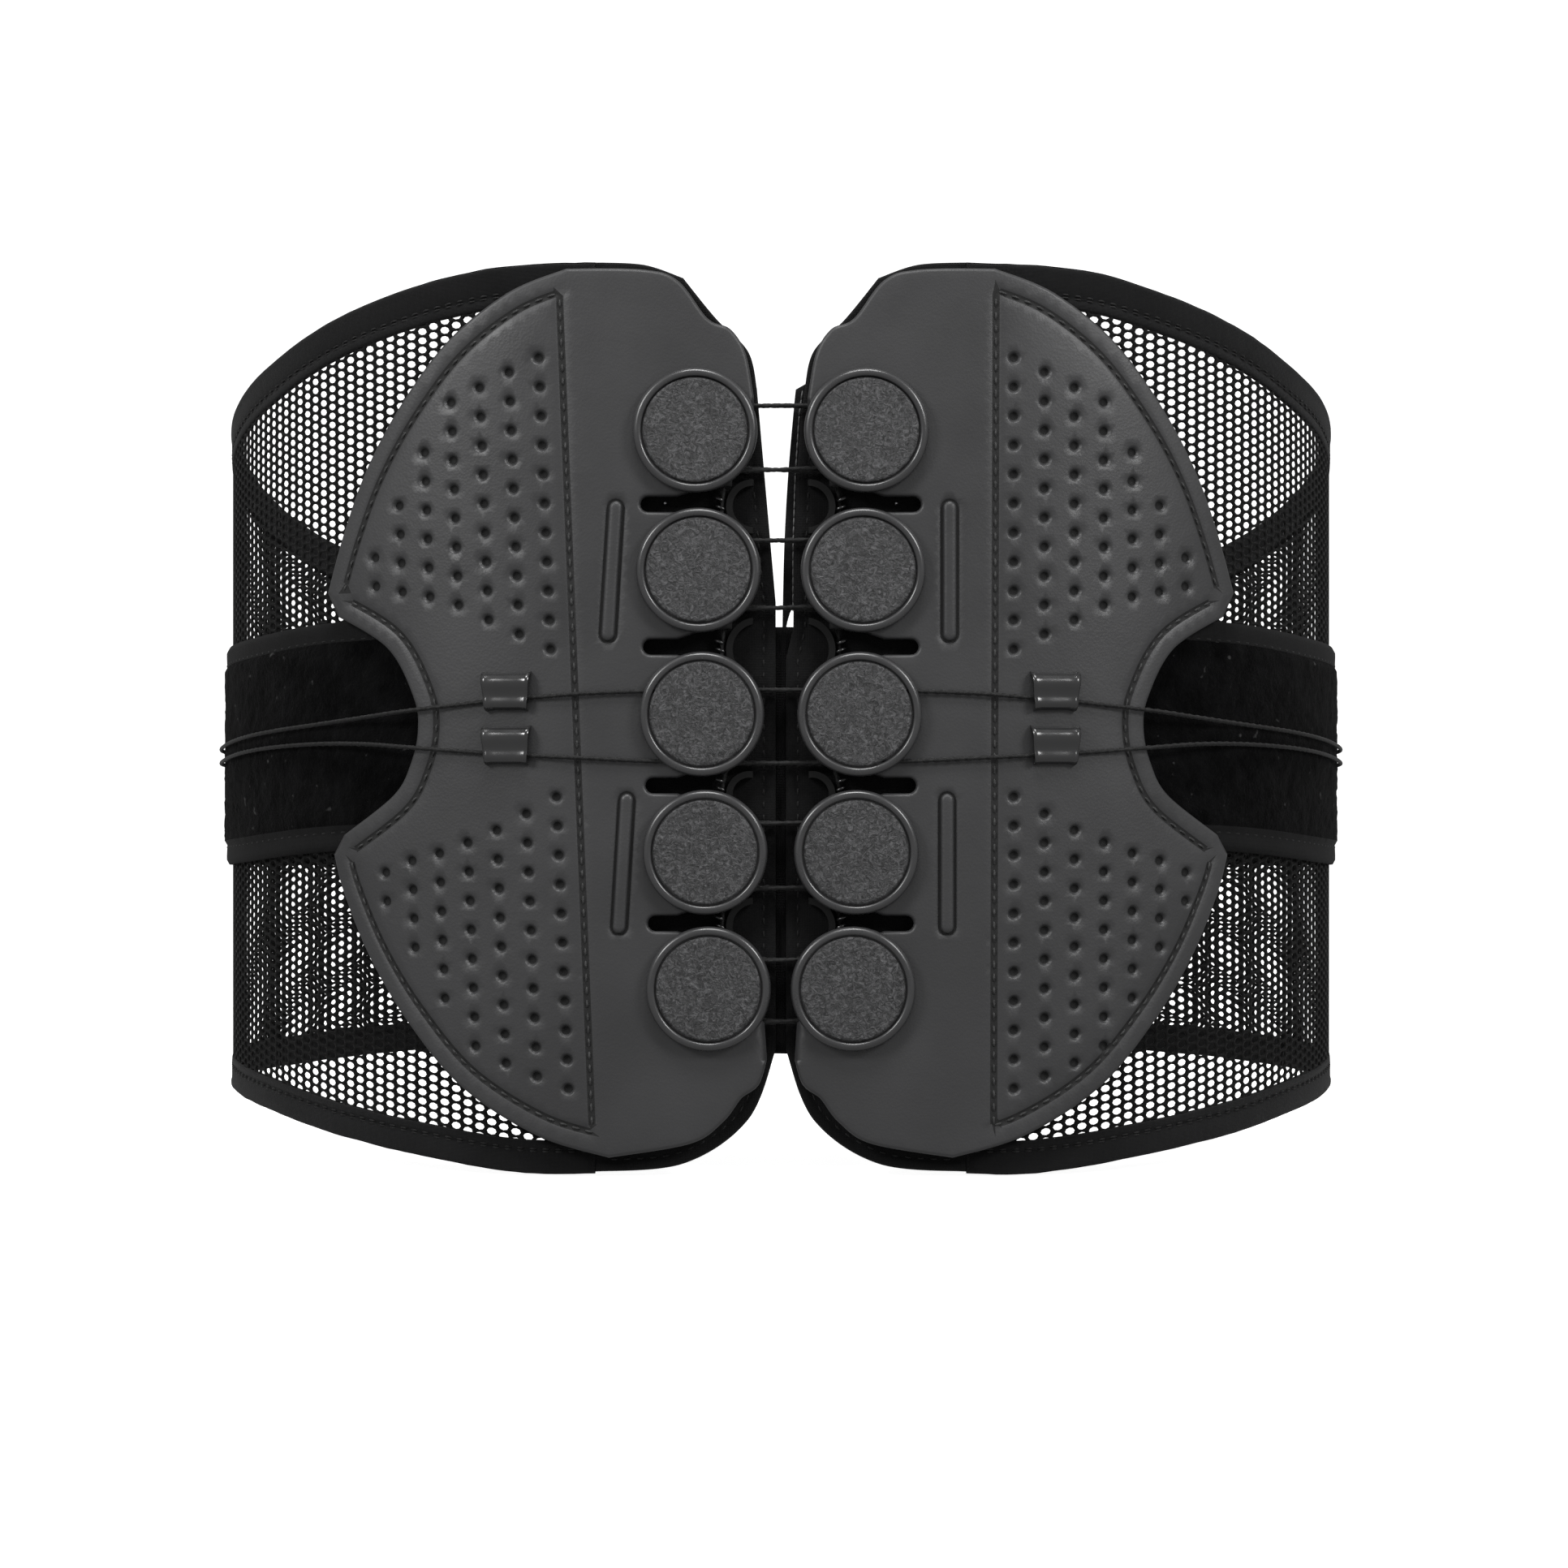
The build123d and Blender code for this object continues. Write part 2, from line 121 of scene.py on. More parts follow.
def wall(s, n):
    """Plan position of the right side's run s, n outward, in millimetres."""
    s = np.asarray(s, float)
    n = np.asarray(n, float)
    x, y, heading = np.zeros_like(s), np.zeros_like(s), np.zeros_like(s)
    for start, end, radius, x0, y0, h0 in WAIST:
        on = (s >= start) & (s <= end)
        run = s - start
        if radius is None:
            h = np.full_like(s, h0)
            px, py = x0 + run * math.cos(h0), y0 + run * math.sin(h0)
        else:
            h = h0 + run / radius
            px = x0 + radius * (np.sin(h) - math.sin(h0))
            py = y0 + radius * (math.cos(h0) - np.cos(h))
        x, y, heading = (np.where(on, a, b) for a, b in ((px, x), (py, y), (h, heading)))
    return x + n * np.sin(heading), y - n * np.cos(heading)


def place(side, s, n, z):
    """Points in metres, as an array of rows."""
    x, y = wall(s, n)
    z = np.asarray(z, float) + 0 * x
    return np.stack([SIDES[side] * x, y, z], -1) * MM


def spot(side, s, n, z):
    return Vector(place(side, np.array([float(s)]), n, z)[0])


RUN_TABLE = np.linspace(0, SEAM, 900)


def run_at(x, n=4.8):
    """Run whose wall, n outward, stands at x; for the back half."""
    return np.interp(x, wall(RUN_TABLE, n)[0], RUN_TABLE)


def level(edge, s):
    """Height of an edge at run s, on a smooth curve through its points."""
    knots = np.array(edge, float)
    i = np.clip(np.searchsorted(knots[:, 0], s, side="right") - 1, 0, len(knots) - 2)
    (s0, z0), (s1, z1) = knots[i].T, knots[i + 1].T
    before, after = knots[np.maximum(i - 1, 0)].T, knots[np.minimum(i + 2, len(knots) - 1)].T
    t = (s - s0) / (s1 - s0)
    m0 = (z1 - before[1]) / (s1 - before[0]) * (s1 - s0)
    m1 = (after[1] - z0) / (after[0] - s0) * (s1 - s0)
    return (
        z0 * (1 + 2 * t) * (1 - t) ** 2 + m0 * t * (1 - t) ** 2
        + z1 * t**2 * (3 - 2 * t) - m1 * t**2 * (1 - t)
    )


def smooth_curve(points, step=1.0):
    """Catmull-Rom curve through a few points, sampled about every step."""
    p = np.array(points, float)
    out = []
    for i in range(len(p) - 1):
        a, b, c, d = p[max(i - 1, 0)], p[i], p[i + 1], p[min(i + 2, len(p) - 1)]
        count = max(2, int(np.linalg.norm(c - b) / step))
        for t in np.arange(count) / count:
            out.append(
                0.5 * (2 * b + (c - a) * t + (2 * a - 5 * b + 4 * c - d) * t**2
                       + (3 * b - a - 3 * c + d) * t**3)
            )
    out.append(p[-1])
    return np.array(out)


# ---------------------------------------------------------------- pieces
def piece(name, verts, faces, material):
    """A smooth mesh object from points in metres."""
    mesh = bpy.data.meshes.new(name)
    mesh.from_pydata([tuple(v) for v in verts], [], [tuple(f) for f in faces])
    mesh.update()
    mesh.shade_smooth()
    mesh.materials.append(material)
    obj = bpy.data.objects.new(name, mesh)
    bpy.context.scene.collection.objects.link(obj)
    return obj


def facing(side, faces):
    """Faces of a right-hand piece, turned over for its mirrored twin."""
    return faces if side == "right" else [tuple(reversed(f)) for f in faces]


def ring_ends(first, rings, around):
    """The two caps that close a tube of rings."""
    last = first + (rings - 1) * around
    return [tuple(first + k for k in range(around)), tuple(last + k for k in reversed(range(around)))]


def tube_faces(first, rings, around):
    """Faces of a closed tube whose rings of points start at the given one."""
    faces = []
    for i in range(rings - 1):
        for k in range(around):
            a, b = first + i * around + k, first + i * around + (k + 1) % around
            faces.append((a, a + around, b + around, b))
    return faces + ring_ends(first, rings, around)


def sheet_faces(tris, count):
    """Upper face, lower face and edge wall of a sheet whose lower points follow its upper ones."""
    faces = list(tris) + [(a + count, c + count, b + count) for a, b, c in tris]
    return faces + [(a, a + count, b + count, b) for a, b in border(tris)]


def grid_faces(rows, columns):
    """The same for a sheet laid out in rows and columns: two faces a cell, then the edge wall."""
    count, faces = rows * columns, []
    for i in range(rows - 1):
        for k in range(columns - 1):
            a = i * columns + k
            b, c, d = a + columns, a + columns + 1, a + 1
            faces += [(a, b, c, d), (a + count, d + count, c + count, b + count)]
    rim = list(range(columns)) + [i * columns + columns - 1 for i in range(1, rows)]
    rim += [count - 1 - k for k in range(1, columns)] + [i * columns for i in range(rows - 2, 0, -1)]
    return faces + [(a, b, b + count, a + count) for a, b in zip(rim, rim[1:] + rim[:1])]


def finish(obj, side, part, slot, *nodes):
    """Attach a piece to its body and hide the CAD nodes that it stands for; slot is not used."""
    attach(obj, side + "_" + part)
    if nodes:
        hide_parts(*nodes)


def belt_blend(obj, side):
    """Bake a piece's transform into its mesh; the points across the side seam are worked out but not used.
    """
    x = SIDES[side] * SEAM_X * MM
    start, end = ((x, y * MM, 0) for y in BELT_BLEND)
    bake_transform(obj)
    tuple(start)
    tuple(end)


def finish_bending(obj, side, slot, *nodes):
    """Bake a piece's transform and hide the CAD nodes that it stands for; slot is not used."""
    belt_blend(obj, side)
    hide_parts(*nodes)


def finish_belt_piece(obj, side, part, slot, kind):
    """The same for a side or front piece of one of the belt's layers."""
    if part == "side":
        finish_bending(obj, side, slot, side + "_side_" + kind, side + "_front_" + kind)
    else:
        finish(obj, side, "front", slot, side + "_front_" + kind)


# ---------------------------------------------------------------- materials
def material(name, color, rough, metallic=0.0, sheen=0.0, coat=0.0, specular=0.5):
    m = bpy.data.materials.new(name)
    m.use_nodes = True
    shader = m.node_tree.nodes["Principled BSDF"]
    shader.inputs["Base Color"].default_value = (*color, 1)
    shader.inputs["Roughness"].default_value = rough
    shader.inputs["Metallic"].default_value = metallic
    shader.inputs["Sheen Weight"].default_value = sheen
    shader.inputs["Sheen Roughness"].default_value = 0.4
    shader.inputs["Coat Weight"].default_value = coat
    shader.inputs["Specular IOR Level"].default_value = specular
    return m, shader


def link(m, a, out, b, into):
    m.node_tree.links.new(a.outputs[out], b.inputs[into])


def node(m, kind, **values):
    made = m.node_tree.nodes.new(kind)
    for key, value in values.items():
        if key in made.inputs:
            made.inputs[key].default_value = value
        else:
            setattr(made, key, value)
    return made


def coordinates(m, scale=(1, 1, 1)):
    where = node(m, "ShaderNodeTexCoord")
    stretch = node(m, "ShaderNodeMapping")
    stretch.inputs["Scale"].default_value = scale
    link(m, where, "Object", stretch, "Vector")
    return stretch


def noise(m, coords, scale, detail=3.0, roughness=0.55):
    made = node(m, "ShaderNodeTexNoise", Scale=scale, Detail=detail, Roughness=roughness)
    link(m, coords, "Vector", made, "Vector")
    return made


def ramp(m, source, out, stops):
    made = node(m, "ShaderNodeValToRGB")
    elements = made.color_ramp.elements
    for i, (at, value) in enumerate(stops):
        element = elements[i] if i < 2 else elements.new(at)
        element.position = at
        element.color = (*value, 1) if hasattr(value, "__len__") else (value, value, value, 1)
    link(m, source, out, made, "Fac")
    return made


def bump(m, shader, source, out, strength, distance, below=None):
    made = node(m, "ShaderNodeBump", Strength=strength, Distance=distance)
    link(m, source, out, made, "Height")
    if below:
        link(m, below, "Normal", made, "Normal")
    link(m, made, "Normal", shader, "Normal")
    return made


def shades(color, *stops):
    """Stops of a ramp, each a share of one color."""
    return [(at, tuple(c * share for c in color)) for at, share in stops]


def leather(name, color, rough=0.46):
    """Fine-grained soft leatherette: pebbles, pores and slow tonal drift."""
    m, shader = material(name, color, rough, specular=0.45)
    at = coordinates(m)
    tone = ramp(m, noise(m, at, 28, 2), "Fac", shades(color, (0.3, 0.86), (0.7, 1.12)))
    link(m, tone, "Color", shader, "Base Color")
    gloss = ramp(m, noise(m, at, 60, 3), "Fac", ((0.3, rough - 0.06), (0.7, rough + 0.07)))
    link(m, gloss, "Color", shader, "Roughness")
    pebbles = node(m, "ShaderNodeTexVoronoi", Scale=1500.0)
    link(m, at, "Vector", pebbles, "Vector")
    first = bump(m, shader, pebbles, "Distance", 0.22, 0.00012)
    bump(m, shader, noise(m, at, 420, 4), "Fac", 0.2, 0.0002, below=first)
    return m


def plastic(name, color, rough, grain=0.1, specular=0.5):
    m, shader = material(name, color, rough, specular=specular)
    at = coordinates(m)
    tone = ramp(m, noise(m, at, 90, 3), "Fac", shades(color, (0.3, 0.9), (0.7, 1.1)))
    link(m, tone, "Color", shader, "Base Color")
    gloss = ramp(m, noise(m, at, 200, 4), "Fac", ((0.3, rough - 0.05), (0.75, rough + 0.08)))
    link(m, gloss, "Color", shader, "Roughness")
    bump(m, shader, noise(m, at, 1600, 3), "Fac", grain, 0.0001)
    return m


def sand_grain(name, color):
    """Coarse cast grain of the disc faces, light and dark specks in it."""
    m, shader = material(name, color, 0.45, specular=0.4)
    at = coordinates(m)
    grains = noise(m, at, 720, 4, 0.72)
    grains.inputs["Distortion"].default_value = 1.5
    tone = ramp(m, grains, "Fac", shades(color, (0.36, 0.35), (0.5, 1.0), (0.64, 2.8)))
    link(m, tone, "Color", shader, "Base Color")
    first = bump(m, shader, grains, "Fac", 0.9, 0.0006)
    bump(m, shader, noise(m, at, 2200, 3), "Fac", 0.35, 0.0002, below=first)
    return m


def woven(name, color, rough, pitch, strength=0.5, sheen=0.05):
    """Close cloth: two crossed sets of threads, with a soft nap."""
    m, shader = material(name, color, rough, sheen=sheen, specular=0.1)
    at = coordinates(m)
    cloth = None
    for direction in ("X", "Z"):
        threads = node(m, "ShaderNodeTexWave", Scale=math.pi / (pitch * 10) * 2, Distortion=0.6)
        threads.bands_direction = direction
        link(m, at, "Vector", threads, "Vector")
        cloth = bump(m, shader, threads, "Fac", strength, pitch * 0.3, below=cloth)
    fuzz = noise(m, at, 900, 4, 0.7)
    bump(m, shader, fuzz, "Fac", 0.35, 0.0003, below=cloth)
    tone = ramp(m, noise(m, at, 45, 3), "Fac", shades(color, (0.3, 0.8), (0.7, 1.2)))
    link(m, tone, "Color", shader, "Base Color")
    return m


def plush(name, color, lint=0.08):
    """Loop pile: matted tufts, a nap that catches light, a few lint specks."""
    m, shader = material(name, color, 0.95, sheen=0.03, specular=0.03)
    at = coordinates(m)
    tufts = noise(m, at, 520, 5, 0.75)
    matted = noise(m, at, 110, 3, 0.6)
    first = bump(m, shader, tufts, "Fac", 0.9, 0.0009)
    bump(m, shader, matted, "Fac", 0.5, 0.0012, below=first)
    pile = ramp(m, matted, "Fac", shades(color, (0.35, 0.55), (0.7, 1.9)))
    specks = ramp(m, noise(m, at, 330, 2, 0.4), "Fac", ((0.72, 0.0), (0.8, lint)))
    total = node(m, "ShaderNodeMix", data_type="RGBA", blend_type="ADD")
    total.inputs["Factor"].default_value = 1.0
    m.node_tree.links.new(pile.outputs["Color"], total.inputs[6])
    m.node_tree.links.new(specks.outputs["Color"], total.inputs[7])
    m.node_tree.links.new(total.outputs[2], shader.inputs["Base Color"])
    return m


def braid(name, color):
    m, shader = material(name, color, 0.6, sheen=0.08, specular=0.2)
    at = coordinates(m, (1, 1, 1))
    strands = noise(m, at, 1400, 3, 0.6)
    bump(m, shader, strands, "Fac", 0.6, 0.0003)
    tone = ramp(m, strands, "Fac", shades(color, (0.35, 0.5), (0.65, 1.5)))
    link(m, tone, "Color", shader, "Base Color")
    return m


def steel(name):
    m, shader = material(name, (0.55, 0.55, 0.56), 0.32, metallic=1.0)
    at = coordinates(m, (1, 1, 12))
    lines = noise(m, at, 900, 2)
    gloss = ramp(m, lines, "Fac", ((0.3, 0.24), (0.7, 0.42)))
    link(m, gloss, "Color", shader, "Roughness")
    return m


WING = leather("wing_leather_mat", (0.030, 0.030, 0.031))
# near-black leather: on the hole bottoms it stands for the black lining seen through each hole and the
# shade in it, partly painted shade; on the wing faces in the bays beside the slots it is painted shadow,
# the shade under the discs
PERFORATION_AND_BAY_SHADE = leather("perforation_and_bay_painted_shade_mat", (0.004, 0.004, 0.004), 0.8)
# near-black leather on the faces along the seam grooves and in the moats round the ribs: painted shade in
# those grooves
GROOVE_PAINTED_SHADE = leather("wing_groove_painted_shade_mat", (0.004, 0.004, 0.004), 0.75)
CAP_PLASTIC = plastic("cap_plastic_mat", (0.030, 0.030, 0.031), 0.27, 0.06, 0.6)
INSERT = sand_grain("disc_face_mat", (0.030, 0.030, 0.031))
LOOP = plastic("cord_loop_mat", (0.018, 0.018, 0.0185), 0.2, 0.05, 0.7)
# light grey plastic of the piping along the right panel's inner edge; its light colour is a painted
# highlight along that edge
PIPING_PAINTED_HIGHLIGHT = plastic("edge_piping_painted_highlight_mat", (0.09, 0.09, 0.09), 0.4, 0.1, 0.3)
PULLEY_PLASTIC = plastic("pulley_mat", (0.02, 0.02, 0.021), 0.3)
TAB_PLASTIC = plastic("pull_tab_mat", (0.02, 0.02, 0.021), 0.42, 0.25)
KNIT = woven("open_mesh_mat", (0.006, 0.006, 0.006), 0.75, 0.0004, 0.3, 0.05)
EDGE = woven("edge_binding_mat", (0.008, 0.008, 0.0083), 0.8, 0.0005, 0.5, 0.1)
BACKING = woven("base_panel_mat", (0.007, 0.007, 0.0072), 0.8, 0.0006)
STRETCH = woven("gusset_mat", (0.004, 0.004, 0.0042), 0.85, 0.0008)
LINING = woven("pad_lining_mat", (0.024, 0.024, 0.0245), 0.85, 0.0009, 0.7, 0.1)
PILE = plush("plush_mat", (0.0022, 0.0022, 0.0023), 0.05)
STRAP_EDGE = woven("strap_edge_mat", (0.007, 0.007, 0.0072), 0.75, 0.0005, 0.5, 0.03)
THREAD = braid("thread_mat", (0.008, 0.008, 0.008))
WING_THREAD = braid("wing_thread_mat", (0.032, 0.032, 0.032))
# black plastic of the lace guides, darkened further so that the guides read as the shade in the slots:
# partly painted shade
GUIDE_SHADE_BLACK = plastic("lace_guide_painted_shade_mat", (0.003, 0.003, 0.003), 0.55, 0.1, 0.2)
CORD = braid("cord_mat", (0.010, 0.010, 0.010))
HOOK = plastic("hook_tape_mat", (0.015, 0.015, 0.015), 0.5, 0.6)
STEEL = steel("rivet_steel_mat")


# ---------------------------------------------------------------- camera, light and floor
FOCUS_Z = -17.0
CAMERA_X = 0.8
CAMERA_DISTANCE = 800.0
NEAR_Y = -104.0
FRAME_WIDTH = 386.4


def make_camera():
    data = bpy.data.cameras.new("camera")
    data.sensor_width = 36.0
    data.lens = data.sensor_width * CAMERA_DISTANCE / FRAME_WIDTH
    camera = bpy.data.objects.new("camera", data)
    camera.location = Vector((CAMERA_X, NEAR_Y - CAMERA_DISTANCE, FOCUS_Z)) * MM
    camera.rotation_euler = (math.radians(90), 0, 0)
    bpy.context.scene.collection.objects.link(camera)
    bpy.context.scene.camera = camera


def area_light(name, position, size, power):
    data = bpy.data.lights.new(name, "AREA")
    data.shape = "RECTANGLE"
    data.size, data.size_y = size
    data.energy = power
    light = bpy.data.objects.new(name, data)
    light.location = position
    light.rotation_euler = (-Vector(position)).to_track_quat("-Z", "Y").to_euler()
    bpy.context.scene.collection.objects.link(light)


def make_stage():
    low = CAD_BOX[0][2] - 0.0005
    m, shader = material("floor_mat", (0.93, 0.93, 0.93), 0.9, specular=0.1)
    at = coordinates(m)
    drift = ramp(m, noise(m, at, 3, 2), "Fac", ((0.2, 0.92), (0.8, 0.94)))
    link(m, drift, "Color", shader, "Base Color")
    shader.inputs["Emission Color"].default_value = (1, 1, 1, 1)
    shader.inputs["Emission Strength"].default_value = 0.85
    half, depth, height, bend = 8.0, 5.0, 8.0, 1.5
    profile = [(-6.0, low), (depth - bend, low)]
    for k in range(1, 13):
        a = math.radians(90 * k / 12)
        profile.append((depth - bend + bend * math.sin(a), low + bend * (1 - math.cos(a))))
    profile.append((depth, height))
    verts = [(x, y, z) for y, z in profile for x in (-half, half)]
    faces = [(2 * i, 2 * i + 1, 2 * i + 3, 2 * i + 2) for i in range(len(profile) - 1)]
    floor = piece("floor", verts, faces, m)
    # the white floor fills the picture but doesn't light the brace from below
    floor.visible_diffuse = False
    floor.visible_glossy = False


make_camera()
make_stage()
world = bpy.data.worlds.new("world")
world.use_nodes = True
world.node_tree.nodes["Background"].inputs["Color"].default_value = (1, 1, 1, 1)
world.node_tree.nodes["Background"].inputs["Strength"].default_value = 0.42
bpy.context.scene.world = world
bpy.context.scene.view_settings.view_transform = "Standard"
area_light("top_soft", (0.0, -0.55, 1.1), (0.5, 0.3), 9)
area_light("left_soft", (-0.75, -0.75, 0.55), (0.3, 0.3), 6)
area_light("right_soft", (0.75, -0.75, 0.55), (0.3, 0.3), 6)


# ---------------------------------------------------------------- flat layouts
def normals_of(line, closed):
    """Unit normals, to the left of the way the line runs."""
    if closed:
        run = np.roll(line, -1, 0) - np.roll(line, 1, 0)
    else:
        run = np.gradient(line, axis=0)
    run = run / np.maximum(np.linalg.norm(run, axis=1, keepdims=True), 1e-9)
    return np.stack([-run[:, 1], run[:, 0]], -1)


def counterclockwise(outline):
    a, b = outline, np.roll(outline, -1, 0)
    area = np.sum(a[:, 0] * b[:, 1] - b[:, 0] * a[:, 1])
    return outline if area > 0 else outline[::-1]


def inside(points, outline):
    a, b = outline, np.roll(outline, -1, 0)
    hits = np.zeros(len(points), int)
    for (ax, az), (bx, bz) in zip(a, b):
        spans = (az > points[:, 1]) != (bz > points[:, 1])
        if spans.any():
            cross = ax + (points[:, 1] - az) / (bz - az if bz != az else 1e-9) * (bx - ax)
            hits += spans & (points[:, 0] < cross)
    return hits % 2 == 1


def clearance(points, line, closed=True):
    """Distance of each point to a line."""
    a = line if closed else line[:-1]
    b = np.roll(line, -1, 0) if closed else line[1:]
    run = b - a
    size = np.maximum((run**2).sum(1), 1e-12)
    best = np.full(len(points), 1e9)
    for start in range(0, len(points), 1500):
        some = points[start:start + 1500]
        t = ((some[:, None] - a) * run).sum(2) / size
        near = a + np.clip(t, 0, 1)[..., None] * run
        best[start:start + 1500] = np.sqrt(((some[:, None] - near) ** 2).sum(2)).min(1)
    return best


def lattice(outline, pitch, margin):
    """Staggered points that fill an outline."""
    low, high = outline.min(0), outline.max(0)
    columns = np.arange(low[0], high[0], pitch)
    rows = np.arange(low[1], high[1], pitch * 0.866)
    grid = np.array([(x + pitch / 2 * (k % 2), z) for k, z in enumerate(rows) for x in columns])
    grid = grid[inside(grid, outline)]
    return grid[clearance(grid, outline) > margin]


def inset(outline, distance):
    """Points of an outline moved inward, leaving out those that crowd a corner."""
    moved = outline + normals_of(outline, True) * distance
    moved = moved[inside(moved, outline)]
    return moved[clearance(moved, outline) > 0.96 * distance]


def triangulate(outline, points):
    verts = [Vector(p) for p in outline] + [Vector(p) for p in points]
    face = [list(range(len(outline)))]
    flat, _, tris, _, _, _ = delaunay_2d_cdt(verts, [], face, 1, 1e-5)
    return np.array([tuple(v) for v in flat]), [tuple(t) for t in tris]


def border(tris):
    """Edges that only one triangle has, running counterclockwise."""
    edges = {}
    for a, b, c in tris:
        for edge in ((a, b), (b, c), (c, a)):
            if edge[::-1] in edges:
                del edges[edge[::-1]]
            else:
                edges[edge] = True
    return list(edges)


def layered(outline, low, high, pitch, edge, extra=(), relief=None, keep_off=None):
    """Layout of a sheet over an outline, and the heights of its two faces, rounded along the edge."""
    fill = lattice(outline, pitch, edge + 0.3 * pitch)
    if keep_off:
        fill = fill[keep_off(fill)]
    rings = [inset(outline, edge * k) for k in (0.08, 0.35, 0.7, 1.0)]
    flat, tris = triangulate(outline, np.vstack([fill, *rings, *extra]))
    away = clearance(flat, outline)
    drop = edge * (1 - np.sqrt(1 - (1 - np.clip(away / edge, 0, 1)) ** 2))
    top = high - drop + (relief(flat, away) if relief else 0)
    return flat, tris, top, low + drop


def panel(name, side, outline, low, high, mat, pitch=2.0, edge=0.8, extra=(), relief=None, keep_off=None):
    """A closed sheet over an outline of (run, height), with its layout."""
    outline = counterclockwise(np.asarray(outline, float))
    flat, tris, top, bottom = layered(outline, low, high, pitch, edge, extra, relief, keep_off)
    verts = np.vstack([place(side, flat[:, 0], n, flat[:, 1]) for n in (top, bottom)])
    obj = piece(name, verts, facing(side, sheet_faces(tris, len(flat))), mat)
    return obj, flat, tris


# ---------------------------------------------------------------- stitching
def along(line, pitch):
    """Points every pitch along a line, with their directions."""
    steps = np.linalg.norm(np.diff(line, axis=0), axis=1)
    run = np.concatenate([[0], np.cumsum(steps)])
    at = np.arange(pitch / 2, run[-1], pitch)
    points = np.stack([np.interp(at, run, line[:, k]) for k in range(line.shape[1])], -1)
    ahead = np.stack([np.interp(at + 0.05, run, line[:, k]) for k in range(line.shape[1])], -1)
    way = ahead - points
    return points, way / np.maximum(np.linalg.norm(way, axis=1, keepdims=True), 1e-9)


def stitches(name, side, lines, n, mat, length=2.3, gap=1.1, radius=0.32, lift=0.12):
    """Short threads, each dipping into the cloth at its ends."""
    verts, faces = [], []
    around, stations = 6, 5
    for line in lines:
        points, ways = along(np.asarray(line, float), length + gap)
        for centre, way in zip(points, ways):
            first = len(verts)
            across = np.array([-way[1], way[0]])
            for i in range(stations):
                t = 2 * i / (stations - 1) - 1
                middle = centre + way * t * length / 2
                size = radius * math.sqrt(max(1 - 0.85 * t * t, 0.02))
                height = n + lift * (1 - t * t) - 0.25 * t**4
                for k in range(around):
                    a = 2 * math.pi * k / around
                    s, z = middle + across * size * math.cos(a)
                    verts.append((s, height + size * math.sin(a), z))
            faces += tube_faces(first, stations, around)
    return piece(name, place(side, *np.array(verts).T), facing(side, faces), mat)


# ---------------------------------------------------------------- the wings
# a rib's length, width and height, and each rib's middle and lean
RIB = (34.4, 3.2, 1.0)
RIBS = {
    "left": ((41.6, 35.5, 0.06), (38.9, -36.6, 0.06)),
    "right": ((41.6, 35.5, 0.0), (41.0, -36.6, 0.0)),
}
# the moat round a rib, as distances from the rib's side: its near edge, its floor's end, its far edge
MOAT = (0.15, 0.6, 1.0)
WING_EDGE_INSET = 5.2
SEAM_HALF = 0.85
# run of the upright seam at its head and its foot
SEAM_ENDS = (106.0, -104.0)
STITCH_RUN = {"left": (54.1, 46.2), "right": (52.6, 52.0)}
HOLE_R = 1.05
HOLE_DEPTH = 1.2
HOLE_RIM = (1.5, 1.9)
HOLE_PITCH = (7.4, 7.2)
# each column of perforations, from the spine outward: its highest hole and its count
UPPER_COLUMNS = ((88.2, 11), (84.8, 10), (81.2, 9), (77.8, 8), (65.6, 6), (52.6, 4), (39.8, 2))
LOWER_COLUMNS = ((-20.2, 11), (-24.4, 10), (-28.5, 9), (-31.6, 8), (-34.3, 6), (-36.2, 4), (-39.2, 2))
# run of the first column at its head and its foot, and the heights of those ends
FIRST_COLUMN = {"left": (59.1, 52.0), "right": (56.9, 56.9)}
COLUMN_ENDS = (88.0, -92.0)


def runs_of(outline):
    """An outline seen from the back, (x, z), laid flat as (run, height)."""
    outline = np.asarray(outline, float)
    return np.stack([run_at(outline[:, 0], SHELL[1]), outline[:, 1]], -1)


UPPER_CURVE = (
    (53, 110.2), (67.7, 104.6), (83, 93.2), (95.5, 77.6), (104.7, 61.8), (110.9, 46), (115.4, 31),
)
NOTCH_CURVE = (
    (112.6, 25.4), (98.8, 16.8), (92, 4.5), (90.9, -3.6), (92.7, -11.7), (97.3, -19.8), (111, -30),
)
LOWER_CURVE = (
    (113.6, -34.5), (110.8, -44.5), (103.6, -60.7), (93.4, -76.6), (79.4, -92.3), (60.4, -103.9),
    (42.4, -109.2),
)
FOOT_CURVE = (
    (42.4, -109.2), (22.4, -105.8), (14.4, -100.6), (10.2, -95.2), (9, -94), (5.4, -91.2), (3.4, -85),
)
HEAD_CURVE = ((6.6, 78), (8.6, 89), (12.4, 95.2), (18, 97.8), (25.4, 107.2), (34, 109.9), (53, 110.2))
SLOT_Z = (52.0, 16.8, -17.4, -51.4)
SLOT_HEIGHT = 3.8
SLOT_END = (33.7, 0.018)
INNER_X = 12.0
# the slots widen towards the spine, first at a throat, then at their mouth: (x, half widening)
SLOT_NECK = 25.5
SLOT_THROAT = (19.0, 2.2)
SLOT_MOUTH = (INNER_X, 2.6)
# wing faces nearer the spine than the first and within the second of a slot's height get painted shadow,
# the shade under the discs
BAY_SHADE_DEPTH = 22.0
BAY_SHADE_HALF = 7.0


